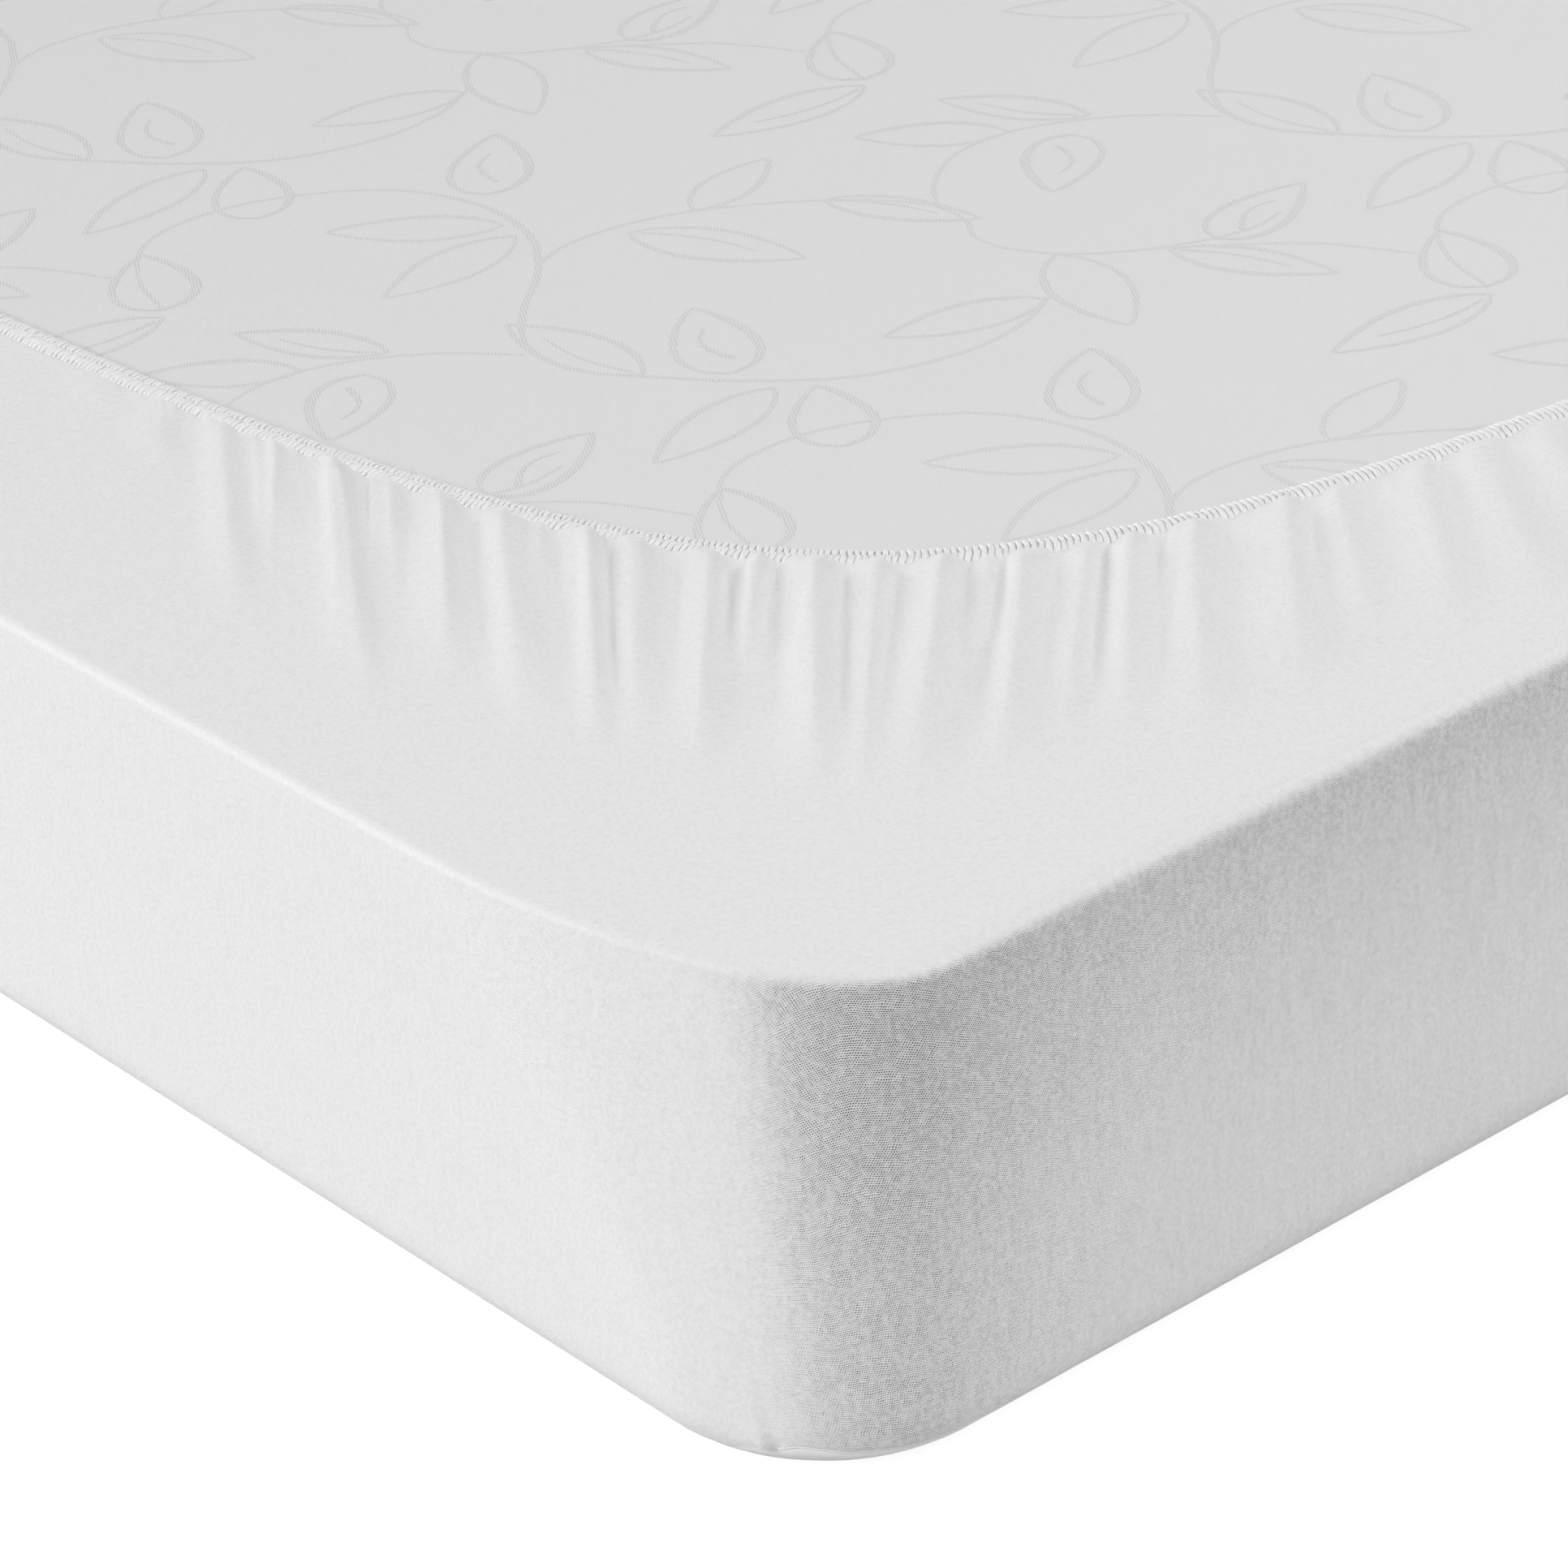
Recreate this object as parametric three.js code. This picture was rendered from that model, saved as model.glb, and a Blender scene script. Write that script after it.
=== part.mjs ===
// A fitted mattress protector stretched over a mattress that lies upside down.
// The sleeping panel is underneath, the knitted skirt goes up the four sides and
// turns over the upper edge, and an overlocked elastic edge gathers it round the
// corners.  Millimetres, +Z up, X along the mattress.  The origin is at the centre
// of the footprint, on the surface that the panel lies on.

import * as THREE from 'three';

// ---- Driving dimensions ---------------------------------------------------------

const MATTRESS = { length: 1900, width: 1350, height: 200 };
const THICKNESS = { panel: 2, skirt: 1.5, elastic: 3 };
const GAP = 0.3;                 // between neighbouring pieces
const EDGE_CLEARANCE = 2;        // between the cloth and the rounded mattress edges

// Outer radii of the upright corners in plan, which are elliptical, and of the
// rounded edges at the foot and at the top of the sides.
const CORNER = {
  lower: { long: 83, short: 78 },
  upper: { long: 205, short: 84 },
};
const BULGE = 0.35;              // share of the way from lower to upper corner at mid-height
const EDGE_ROUND = { lower: 20, upper: { long: 5, short: 10 } };
const EDGE_BLEND = 120;          // from the diagonal to where an edge has its own radius
const SEAM_DIP = { side: 60, corner: 36 };    // degrees below level on the lower edge
const SEAM_RISE = 150;           // length of rim over which it rises to the diagonal

// The hem line in plan follows (along - base) * (inset - base) = reach squared,
// with both distances taken from the sides' corner, and runs level at mid-side.
const HEM = {
  base: { long: 114, short: 88 },
  reach: 162,
  levelFrom: { long: 200, short: 540 },
};
const ELASTIC_WIDTH = 10;

// How the gathers lean towards the corner: how far a column moves along the rim for
// a step along the hem at the corner, and how late it turns square to the side.
const LEAN = {
  long: { start: 0.86, lateness: 1.95 },
  short: { start: 1.39, lateness: 1.35 },
};

// The main gathers of one corner.  at: crest, in mm along the hem from the corner's
// diagonal, positive towards the long side.  rise and fall: widths of its two
// slopes, the rise on the positive side.  height: at its fullest.  reach: how far it
// runs out from the hem.
const GATHERS = [
  { at: 328, rise: 16, fall: 15, height: 2.6, reach: 195 },
  { at: 299, rise: 12, fall: 18, height: 2.6, reach: 115 },
  { at: 254, rise: 20, fall: 22, height: 3.6, reach: 200 },
  { at: 202, rise: 18, fall: 15, height: 4.0, reach: 170 },
  { at: 168, rise: 12, fall: 26, height: 4.2, reach: 190 },
  { at: 129, rise: 12, fall: 9, height: 4.0, reach: 195 },
  { at: 110, rise: 10, fall: 19, height: 3.6, reach: 190 },
  { at: 81, rise: 13, fall: 17, height: 4.2, reach: 190 },
  { at: 33, rise: 14, fall: 13, height: 4.5, reach: 190 },
  { at: 8, rise: 11, fall: 9, height: 4.0, reach: 185 },
  { at: -13, rise: 14, fall: 12, height: 4.4, reach: 190 },
  { at: -44, rise: 9, fall: 12, height: 4.0, reach: 190 },
  { at: -70, rise: 11, fall: 7, height: 3.2, reach: 165 },
  { at: -87, rise: 9, fall: 13, height: 4.0, reach: 185 },
  { at: -115, rise: 14, fall: 12, height: 4.2, reach: 190 },
  { at: -152, rise: 25, fall: 11, height: 4.2, reach: 180 },
  { at: -175, rise: 11, fall: 16, height: 3.2, reach: 155 },
  { at: -212, rise: 21, fall: 10, height: 3.4, reach: 170 },
  { at: -240, rise: 17, fall: 14, height: 3.0, reach: 155 },
  { at: -275, rise: 18, fall: 20, height: 2.2, reach: 120 },
];

// How each corner's gathers differ, counter-clockwise from the +X +Y corner.
const CORNERS = [
  { x: 1, y: 1, flip: -1, stretch: 0.97, shift: 9, swell: 0.9 },
  { x: -1, y: 1, flip: -1, stretch: 1.04, shift: -7, swell: 0.95 },
  { x: -1, y: -1, flip: 1, stretch: 0.95, shift: -12, swell: 0.88 },
  { x: 1, y: -1, flip: 1, stretch: 1, shift: 0, swell: 1 },
];
const GATHER_START = 0.45;       // share of a gather's height right at the hem
const GATHER_GROWS = 15;         // distance from the hem where it is full
const GATHER_HOLDS = 0.3;        // share of its reach before it starts to fade

// Rows of the turned-over flap, as shares of the way from hem to rim, and places past
// the last gather, as shares of what is left of the hem.
const FLAP_ROWS = [0.5, 0.26, 0.08, 0];
const PAST_GATHERS = [0.3, 0.65, 1];
const LEAST_STEP = { flap: 4, elastic: 38 };  // along the hem

const COLOURS = {
  mattress: '#dadcdd',
  sleep_panel: '#eeeeee',
  skirt: '#ebebec',
  elastic_edge: '#f4f4f4',
};

// ---- Sizes worked out from them ---------------------------------------------------

const HALF = {
  long: MATTRESS.length / 2 + GAP + THICKNESS.skirt,
  short: MATTRESS.width / 2 + GAP + THICKNESS.skirt,
};
const MATTRESS_FLOOR = THICKNESS.panel + GAP;
const MATTRESS_TOP = MATTRESS_FLOOR + MATTRESS.height;
const FLAP_FLOOR = MATTRESS_TOP + GAP;
const OVERALL = FLAP_FLOOR + THICKNESS.skirt;

// A larger radius inside two touching faces opens a clearance at 45 degrees.
const EASE = (EDGE_CLEARANCE - GAP) / (Math.SQRT2 - 1);

const radians = (degrees) => degrees * Math.PI / 180;
const mix = (a, b, t) => a + (b - a) * t;
const clamp01 = (t) => Math.min(1, Math.max(0, t));
const smooth = (t) => clamp01(t) ** 2 * (3 - 2 * clamp01(t));

// ---- Stations round the outline ---------------------------------------------------

// A station is a place on the outline: a corner, a side of it (1 towards the long
// side, -1 towards the short side), and its distance along the rim from the
// corner's diagonal.
const sideName = (side) => (side > 0 ? 'long' : 'short');
const ownAndOther = (sizes, side) => [sizes[sideName(side)], sizes[sideName(-side)]];

// The part of the rounded corner between the diagonal and a side: its angle on the
// ellipse, and its length.
function turn(side) {
  const [own, other] = ownAndOther(CORNER.upper, side);
  const angle = Math.atan2(own, other);
  return { angle, arc: Math.hypot(own * Math.sin(angle), other * (1 - Math.cos(angle))) };
}
const TURN = { long: turn(1), short: turn(-1) };
const rimLength = (side) => {
  const name = sideName(side);
  return TURN[name].arc + HALF[name] - CORNER.upper[name];
};

// Counter-clockwise, odd corners are reached along their long side.
const comesFirst = (corner) => (corner % 2 === 0 ? -1 : 1);
const order = ({ corner, side, rim }) => {
  const sign = side === comesFirst(corner) ? -1 : 1;
  return 2 * corner + 1 + sign * rim / rimLength(side);
};

// The point of an outline at a station.  inset is the distance in from the outer
// sides, and radii are the corner's two radii at the outline itself.
function onOutline({ corner, side, rim }, inset, radii) {
  const { angle: whole, arc } = TURN[sideName(side)];
  const angle = whole * (1 - Math.min(rim / arc, 1));
  const along = Math.max(rim - arc, 0) / (rimLength(side) - arc);
  const [own, other] = ownAndOther(radii, side);
  const [ownHalf, otherHalf] = ownAndOther(HALF, side);
  const u = (ownHalf - inset - own) * (1 - along) + own * Math.sin(angle);
  const v = otherHalf - inset - other + other * Math.cos(angle);
  const { x, y } = CORNERS[corner];
  return side > 0 ? { x: x * u, y: y * v } : { x: x * v, y: y * u };
}
const shrink = ({ long, short }, by) => ({ long: long - by, short: short - by });

// Every piece but the flap uses these stations: steps round the corner, then places
// on the straight, as shares of its length.
const STEPS_ROUND = { long: 5, short: 2 };
const ON_STRAIGHT = { long: [0, 0.25, 0.6, 1], short: [0, 0.08, 0.2, 0.6, 1] };
function coarseStations() {
  const stations = [];
  CORNERS.forEach((_, corner) => {
    const first = comesFirst(corner);
    for (const side of [first, -first]) {
      const steps = STEPS_ROUND[sideName(side)];
      const { arc } = TURN[sideName(side)];
      const round = Array.from({ length: steps }, (_unused, i) => arc * i / steps);
      const straight = ON_STRAIGHT[sideName(side)].map((t) => mix(arc, rimLength(side), t));
      const rims = [...round, ...straight];
      const kept = side === first ? rims.slice(1).reverse() : rims.slice(0, -1);
      stations.push(...kept.map((rim) => ({ corner, side, rim })));
    }
  });
  return stations;
}
const COARSE = coarseStations();

// ---- Solids from rings --------------------------------------------------------------

// A solid is built from rings of points, each ring counter-clockwise from above.
// Rings may have different numbers of points: two neighbours are stitched in the
// order of their stations.
class Solid {
  constructor() {
    this.points = [];
    this.faces = [];
  }

  point(x, y, z) {
    this.points.push(x, y, z);
    return this.points.length / 3 - 1;
  }

  ring(stations, place) {
    const start = order(stations[0]);
    const entries = stations.map((station) => {
      const { x, y, z } = place(station);
      return { index: this.point(x, y, z), order: (order(station) - start + 8) % 8 };
    });
    return [...entries, { index: entries[0].index, order: 8 }];
  }

  stitch(lower, upper) {
    let i = 0;
    let j = 0;
    while (i < lower.length - 1 || j < upper.length - 1) {
      const nextLower = i < lower.length - 1 ? lower[i + 1].order : Infinity;
      const nextUpper = j < upper.length - 1 ? upper[j + 1].order : Infinity;
      if (nextLower <= nextUpper) {
        this.faces.push(lower[i].index, lower[i + 1].index, upper[j].index);
        i += 1;
      } else {
        this.faces.push(lower[i].index, upper[j + 1].index, upper[j].index);
        j += 1;
      }
    }
  }

  stitchAll(rings) {
    rings.slice(1).forEach((ring, k) => this.stitch(rings[k], ring));
  }

  cap(ring, z, up) {
    const centre = this.point(0, 0, z);
    for (let i = 0; i < ring.length - 1; i += 1) {
      const a = ring[i].index;
      const b = ring[i + 1].index;
      this.faces.push(...(up ? [centre, a, b] : [centre, b, a]));
    }
  }

  geometry() {
    const geometry = new THREE.BufferGeometry();
    geometry.setAttribute('position', new THREE.Float32BufferAttribute(this.points, 3));
    geometry.setIndex(this.faces);
    geometry.computeVertexNormals();
    return geometry;
  }
}

// The upper edge is rounder along the short sides.
function upperBend({ side, rim }) {
  const { long, short } = EDGE_ROUND.upper;
  const own = EDGE_ROUND.upper[sideName(side)];
  return mix((long + short) / 2, own, smooth(rim / EDGE_BLEND));
}

// A ring on the lower rounded edge, at an angle below level, and one on the upper
// edge, at an angle above level.  depth is the distance in from the outer face, and
// ease is what the upper edge's radius has over the cloth's.
function lowerEdge(angle, depth, bend, radii) {
  return (station) => {
    const degrees = typeof angle === 'function' ? angle(station) : angle;
    const turnedIn = bend * (1 - Math.cos(radians(degrees)));
    const point = onOutline(station, depth + turnedIn, shrink(radii, turnedIn));
    return { ...point, z: depth + bend * (1 - Math.sin(radians(degrees))) };
  };
}

function upperEdge(angle, depth, ease, radii, top) {
  return (station) => {
    const bend = upperBend(station) - depth + ease;
    const turnedIn = bend * (1 - Math.cos(radians(angle)));
    const point = onOutline(station, depth + turnedIn, shrink(radii, turnedIn));
    return { ...point, z: top - bend * (1 - Math.sin(radians(angle))) };
  };
}

// ---- Mattress -------------------------------------------------------------------------

function mattress() {
  const depth = GAP + THICKNESS.skirt;
  const lowerBend = EDGE_ROUND.lower - THICKNESS.panel + EASE;
  const lowerRadii = shrink(CORNER.lower, depth - EASE);
  const upperRadii = shrink(CORNER.upper, depth - EASE);
  const raise = (place) => (station) => {
    const point = place(station);
    return { ...point, z: point.z - depth + MATTRESS_FLOOR };
  };
  const solid = new Solid();
  const rings = [
    ...[90, 60, 30, 0].map((a) => raise(lowerEdge(a, depth, lowerBend, lowerRadii))),
    ...[0, 45, 90].map((a) => upperEdge(a, depth, EASE, upperRadii, MATTRESS_TOP)),
  ].map((place) => solid.ring(COARSE, place));
  solid.stitchAll(rings);
  solid.cap(rings[0], MATTRESS_FLOOR, false);
  solid.cap(rings[rings.length - 1], MATTRESS_TOP, true);
  return solid.geometry();
}

// ---- Sleeping panel -------------------------------------------------------------------

// The seam between panel and skirt runs under the lower edge and rises round the
// corners.
const seamDip = ({ rim }) => mix(SEAM_DIP.corner, SEAM_DIP.side, smooth(rim / SEAM_RISE));

function sleepPanel() {
  const bend = EDGE_ROUND.lower;
  const edge = (station) => seamDip(station) + THREE.MathUtils.radToDeg(GAP / bend);
  const between = (station) => mix(90, edge(station), 0.5);
  const inner = THICKNESS.panel;
  const solid = new Solid();
  const rings = [
    ...[90, between, edge].map((a) => lowerEdge(a, 0, bend, CORNER.lower)),
    ...[edge, between, 90].map((a) => (
      lowerEdge(a, inner, bend - inner, shrink(CORNER.lower, inner)))),
  ].map((place) => solid.ring(COARSE, place));
  solid.stitchAll(rings);
  solid.cap(rings[0], 0, false);
  solid.cap(rings[rings.length - 1], inner, true);
  return solid.geometry();
}

// ---- Hem line ---------------------------------------------------------------------------

// Distance in from the side at a distance along it, both from the sides' corner.
function hemInset(along, side) {
  const [base, otherBase] = ownAndOther(HEM.base, side);
  const half = HALF[sideName(side)];
  const levelFrom = HEM.levelFrom[sideName(side)];
  const slope = (HEM.reach / (half - otherBase)) ** 2;
  const level = slope * Math.max(along - levelFrom, 0) ** 2 / (2 * (half - levelFrom));
  return base + HEM.reach ** 2 / (along - otherBase) + level;
}

// The hem of one side of a corner as points 1 mm apart along the side, with the
// length run so far.
function hemRun(side) {
  const half = HALF[sideName(side)];
  const start = HEM.base[sideName(-side)] + HEM.reach;
  const steps = Math.round(half - start);
  const run = [{ length: 0, along: start }];
  for (let i = 1; i <= steps; i += 1) {
    const along = mix(start, half, i / steps);
    const before = run[i - 1];
    const rise = hemInset(along, side) - hemInset(before.along, side);
    run.push({ length: before.length + Math.hypot(along - before.along, rise), along });
  }
  return run;
}
const HEM_RUN = { long: hemRun(1), short: hemRun(-1) };
const hemLength = (side) => HEM_RUN[sideName(side)].at(-1).length;

// The point of the hem at a length along it from the diagonal, moved out by offset.
function onHem({ corner, side, hem }, offset) {
  const run = HEM_RUN[sideName(side)];
  const [half, other] = ownAndOther(HALF, side);
  const next = Math.max(1, run.findIndex((step) => step.length >= hem - 1e-6));
  const share = (hem - run[next - 1].length) / (run[next].length - run[next - 1].length);
  const along = mix(run[next - 1].along, run[next].along, share);
  const slope = hemInset(Math.min(along + 0.5, half), side) - hemInset(along - 0.5, side);
  const flat = hem === 0 ? -1 : slope;
  const size = Math.hypot(1, flat);
  const u = half - along - offset * flat / size;
  const v = other - hemInset(along, side) + offset / size;
  const { x, y } = CORNERS[corner];
  return side > 0 ? { x: x * u, y: y * v } : { x: x * v, y: y * u };
}

// ---- Skirt ------------------------------------------------------------------------------

// Each column of the flap joins a length along the hem to one along the rim.
function rimFromHem(hem, side) {
  const { start, lateness } = LEAN[sideName(side)];
  const share = hem / hemLength(side);
  const full = rimLength(side) / hemLength(side);
  return hem * mix(start, full, share ** lateness);
}

// The gathers of a corner, with that corner's own spacing and heights.
function gathersOf(corner) {
  const { flip, stretch, shift, swell } = CORNERS[corner];
  return GATHERS.map((gather) => ({
    ...gather,
    at: flip * gather.at * stretch + shift,
    rise: flip > 0 ? gather.rise : gather.fall,
    fall: flip > 0 ? gather.fall : gather.rise,
    height: gather.height * swell,
  }));
}
const CORNER_GATHERS = CORNERS.map((_, corner) => gathersOf(corner));

// Height of the gathered cloth above where it lies flat.
function gatherHeight({ corner, side, hem }, distance) {
  const place = side * hem;
  const grow = mix(GATHER_START, 1, smooth(distance / GATHER_GROWS));
  let height = 0;
  for (const { at, rise, fall, height: full, reach } of CORNER_GATHERS[corner]) {
    const offset = place - at;
    const share = offset > 0 ? offset / rise : -offset / fall;
    if (share < 1) {
      const bell = (1 + Math.cos(Math.PI * share)) / 2;
      const fade = 1 - smooth((distance / reach - GATHER_HOLDS) / (1 - GATHER_HOLDS));
      height = Math.max(height, full * bell * grow * fade);
    }
  }
  return height;
}

// The hem's stations round all four corners, from the lengths along the hem that a
// corner's side asks for, in any order.
function hemStations(lengthsFor, apart) {
  const stations = [];
  CORNERS.forEach((_, corner) => {
    const first = comesFirst(corner);
    for (const side of [first, -first]) {
      const hems = [0];
      lengthsFor(corner, side).sort((a, b) => a - b).forEach((hem) => {
        if (hem - hems.at(-1) >= apart) hems.push(hem);
      });
      const kept = side === first ? hems.slice(1).reverse() : hems.slice(0, -1);
      stations.push(...kept.map((hem) => ({ corner, side, hem, rim: rimFromHem(hem, side) })));
    }
  });
  return stations;
}

// The crest, the feet and the middle of both slopes of every gather, then a few
// places on the straight.
function gatherLengths(corner, side) {
  const lengths = CORNER_GATHERS[corner].flatMap(({ at, rise, fall }) => (
    [at + rise, at + rise / 2, at, at - fall / 2, at - fall]
  )).map((place) => place * side).filter((place) => place > 0);
  const last = Math.max(...lengths);
  return [...lengths, ...PAST_GATHERS.map((share) => mix(last, hemLength(side), share))];
}
const FLAP_STATIONS = hemStations(gatherLengths, LEAST_STEP.flap);

// A point of the flap at a share of the way from the elastic edge to the rim.
function onFlap(share, depth) {
  return (station) => {
    const inset = upperBend(station);
    const rim = onOutline(station, inset, shrink(CORNER.upper, inset));
    const hem = onHem(station, ELASTIC_WIDTH + GAP);
    const distance = share * Math.hypot(rim.x - hem.x, rim.y - hem.y);
    return {
      x: mix(hem.x, rim.x, share),
      y: mix(hem.y, rim.y, share),
      z: OVERALL - depth + gatherHeight(station, distance),
    };
  };
}

function skirt() {
  const halfway = (station) => seamDip(station) / 2;
  // One face of the cloth, from the seam up the side and over to the hem.
  const face = (solid, depth) => {
    const low = (angle) => (
      lowerEdge(angle, depth, EDGE_ROUND.lower - depth, shrink(CORNER.lower, depth)));
    const high = (angle) => (
      upperEdge(angle, depth, 0, shrink(CORNER.upper, depth), OVERALL - depth));
    const middle = (station) => {
      const radii = {
        long: mix(CORNER.lower.long, CORNER.upper.long, BULGE),
        short: mix(CORNER.lower.short, CORNER.upper.short, BULGE),
      };
      return { ...onOutline(station, depth, shrink(radii, depth)), z: OVERALL / 2 };
    };
    const places = [low(seamDip), low(halfway), low(0), middle, ...[0, 45, 90].map(high)];
    return [
      ...places.map((place) => solid.ring(COARSE, place)),
      ...FLAP_ROWS.map((share) => solid.ring(FLAP_STATIONS, onFlap(share, depth))),
    ];
  };
  const solid = new Solid();
  const outside = face(solid, 0);
  const inside = face(solid, THICKNESS.skirt).reverse();
  solid.stitchAll([...outside, ...inside, outside[0]]);
  return solid.geometry();
}

// ---- Elastic edge -----------------------------------------------------------------------

function elasticEdge() {
  // Fewer of the flap's own stations, so that the two pieces follow one line.
  const stations = [];
  FLAP_STATIONS.forEach((station) => {
    const last = stations.at(-1);
    const middle = Math.abs(station.hem - hemLength(station.side)) < 1e-6;
    const diagonal = station.hem === 0;
    const near = last && last.corner === station.corner && last.side === station.side
      && Math.abs(last.hem - station.hem) < LEAST_STEP.elastic;
    if (middle || diagonal || !near) stations.push(station);
  });
  // The section: a flat strip with rounded edges, from its outer side over the top.
  const half = ELASTIC_WIDTH / 2;
  const bend = THICKNESS.elastic / 2;
  const section = [
    { across: 1, up: 0 },
    { across: 1, up: 1.2 },
    { across: 0.6, up: 2 },
    { across: -0.6, up: 2 },
    { across: -1, up: 1.2 },
    { across: -1, up: 0 },
  ];
  const solid = new Solid();
  const rings = section.map(({ across, up }) => solid.ring(stations, (station) => ({
    ...onHem(station, half + half * across),
    z: FLAP_FLOOR + up * bend,
  })));
  solid.stitchAll([...rings, rings[0]]);
  return solid.geometry();
}

// ---- The object -------------------------------------------------------------------------

const PIECES = {
  mattress,
  sleep_panel: sleepPanel,
  skirt,
  elastic_edge: elasticEdge,
};

const protector = new THREE.Group();
for (const [name, build] of Object.entries(PIECES)) {
  const material = new THREE.MeshStandardMaterial({
    color: COLOURS[name],
    roughness: 0.9,
    metalness: 0,
  });
  const mesh = new THREE.Mesh(build(), material);
  mesh.name = name;
  protector.add(mesh);
}

export default protector;
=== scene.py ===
"""A fitted mattress protector pulled over a mattress that lies upside down.

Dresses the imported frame: the knitted skirt with its gathers, the overlocked
elastic edge, the sleeping panel with its seam, and the patterned ticking of the
mattress.  Metres, +Z up, X along the mattress.
"""
import math

import bpy
import numpy as np
from mathutils import Matrix, Vector


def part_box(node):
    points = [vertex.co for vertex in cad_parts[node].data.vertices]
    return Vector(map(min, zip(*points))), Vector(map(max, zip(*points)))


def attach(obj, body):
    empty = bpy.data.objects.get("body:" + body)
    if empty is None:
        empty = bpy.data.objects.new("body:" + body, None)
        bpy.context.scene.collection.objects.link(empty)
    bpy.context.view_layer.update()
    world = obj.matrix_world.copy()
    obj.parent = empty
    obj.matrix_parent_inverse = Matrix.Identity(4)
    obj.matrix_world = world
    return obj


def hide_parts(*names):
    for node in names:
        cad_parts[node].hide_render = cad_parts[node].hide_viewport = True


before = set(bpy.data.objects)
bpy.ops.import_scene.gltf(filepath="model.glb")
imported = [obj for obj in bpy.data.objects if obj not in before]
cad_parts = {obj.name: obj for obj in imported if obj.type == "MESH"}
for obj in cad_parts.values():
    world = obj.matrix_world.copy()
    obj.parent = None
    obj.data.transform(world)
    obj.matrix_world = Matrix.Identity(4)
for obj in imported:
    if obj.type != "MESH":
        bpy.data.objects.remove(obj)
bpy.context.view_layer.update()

MM = 0.001
LONG, SHORT = SIDES = 1, -1  # the two sides that meet at a corner

# ---- Sizes of the frame ----

MATTRESS_LOW, MATTRESS_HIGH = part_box("mattress")
_, SKIRT_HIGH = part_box("skirt")
HALF = {LONG: SKIRT_HIGH.x, SHORT: SKIRT_HIGH.y}
GAP, CLOTH, PANEL = 0.3 * MM, 1.5 * MM, 2 * MM
FLAP_FLOOR = MATTRESS_HIGH.z + GAP
FLAP = FLAP_FLOOR + CLOTH  # outer face of the turned-over flap where it is flat

# Radii of the upright corners in plan, along the two sides, and of the edges.
CORNER_LOWER = {LONG: 83 * MM, SHORT: 78 * MM}
CORNER_UPPER = {LONG: 205 * MM, SHORT: 84 * MM}
EDGE_LOWER = 20 * MM
EDGE_UPPER = {LONG: 3.5 * MM, SHORT: 8.5 * MM}
EDGE_BLEND = 120 * MM  # over which an edge's radius changes from side to side
SEAM_DIP_SIDE, SEAM_DIP_CORNER = 60, 36  # degrees below level
SEAM_RISE = 150 * MM  # over which the seam comes down from a corner
# The pleat draws the seam up, unevenly: by degrees, at a place along the rim.
DRAWN_UP, DRAWN_SWAY, DRAWN_AT, DRAWN_OVER = 32, 2.5, 98 * MM, 60 * MM
DRAWN_WAVES = 9 * MM, 4 * MM

# The hem's distance in from a side: a base in the side's middle, level from a given
# place on, and more towards the corner by a curve with this reach.
HEM_BASE = {LONG: 114 * MM, SHORT: 88 * MM}
HEM_REACH = 162 * MM
HEM_LEVEL_FROM = {LONG: 200 * MM, SHORT: 540 * MM}
ELASTIC_WIDTH, ELASTIC_HEIGHT = 10 * MM, 3 * MM
LEAN = {LONG: (0.86, 1.95), SHORT: (1.39, 1.35)}  # start, lateness
HEM_SAMPLES, RIM_SAMPLES = 900, 4000  # points that lengths are measured with

# The gathers of one corner, in mm.  at: crest, along the hem from the corner's
# diagonal, positive towards the long side.  rise, fall: widths of the two slopes.
# height and reach: how high it stands and how far it runs from the hem.  sway: how
# far it has strayed sideways at its end.
GATHERS = [
    # at, rise, fall, height, reach, sway
    (413, 12, 15, 1.0, 40, 1),
    (368, 8, 13, 1.2, 75, 8),
    (331, 16, 15, 1.8, 185, -7),
    (296, 12, 17, 1.7, 95, 7),
    (259, 20, 11, 2.5, 205, -12),
    (232, 11, 10, 1.7, 70, 0),
    (202, 18, 13, 3.0, 165, 0),
    (173, 12, 26, 3.3, 190, -11),
    (129, 12, 9, 3.3, 190, 0),
    (110, 10, 19, 3.1, 180, 0),
    (76, 13, 9, 3.7, 185, 8),
    (57, 7, 8, 2.8, 100, 5),
    (34, 14, 13, 4.5, 190, -6),
    (9, 11, 9, 4.0, 190, -3),
    (-15, 15, 10, 4.5, 190, 5),
    (-33, 7, 7, 2.4, 80, 1),
    (-46, 8, 12, 4.0, 185, 5),
    (-71, 11, 7, 3.2, 160, 7),
    (-87, 9, 13, 4.0, 165, 0),
    (-114, 14, 12, 4.2, 180, -2),
    (-152, 25, 11, 4.2, 165, 0),
    (-173, 11, 16, 3.2, 140, -8),
    (-212, 21, 10, 3.4, 150, 1),
    (-239, 17, 14, 3.0, 160, -3),
    (-270, 15, 15, 2.0, 85, -3),
    (-301, 16, 20, 1.4, 70, -4),
]

# How each corner's gathers differ, counter-clockwise from the +X +Y corner.
CORNERS = [
    # x, y, flip, stretch, shift (mm), swell
    (1, 1, -1, 0.97, 9, 1.25),
    (-1, 1, -1, 1.04, -7, 1.3),
    (-1, -1, 1, 0.95, -12, 1.2),
    (1, -1, 1, 1.0, 0, 1.4),
]


def mix(a, b, t):
    return a + (b - a) * t


def running(steps, axis=0):
    """Running totals, from 0."""
    return np.insert(np.cumsum(steps, axis), 0, 0, axis)


def smooth(t):
    t = np.clip(t, 0, 1)
    return t * t * (3 - 2 * t)


def sides_of(corner):
    """The two sides that meet at a corner, counter-clockwise."""
    first = SHORT if corner % 2 == 0 else LONG
    return first, -first


# ---- Hem line ----


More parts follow.
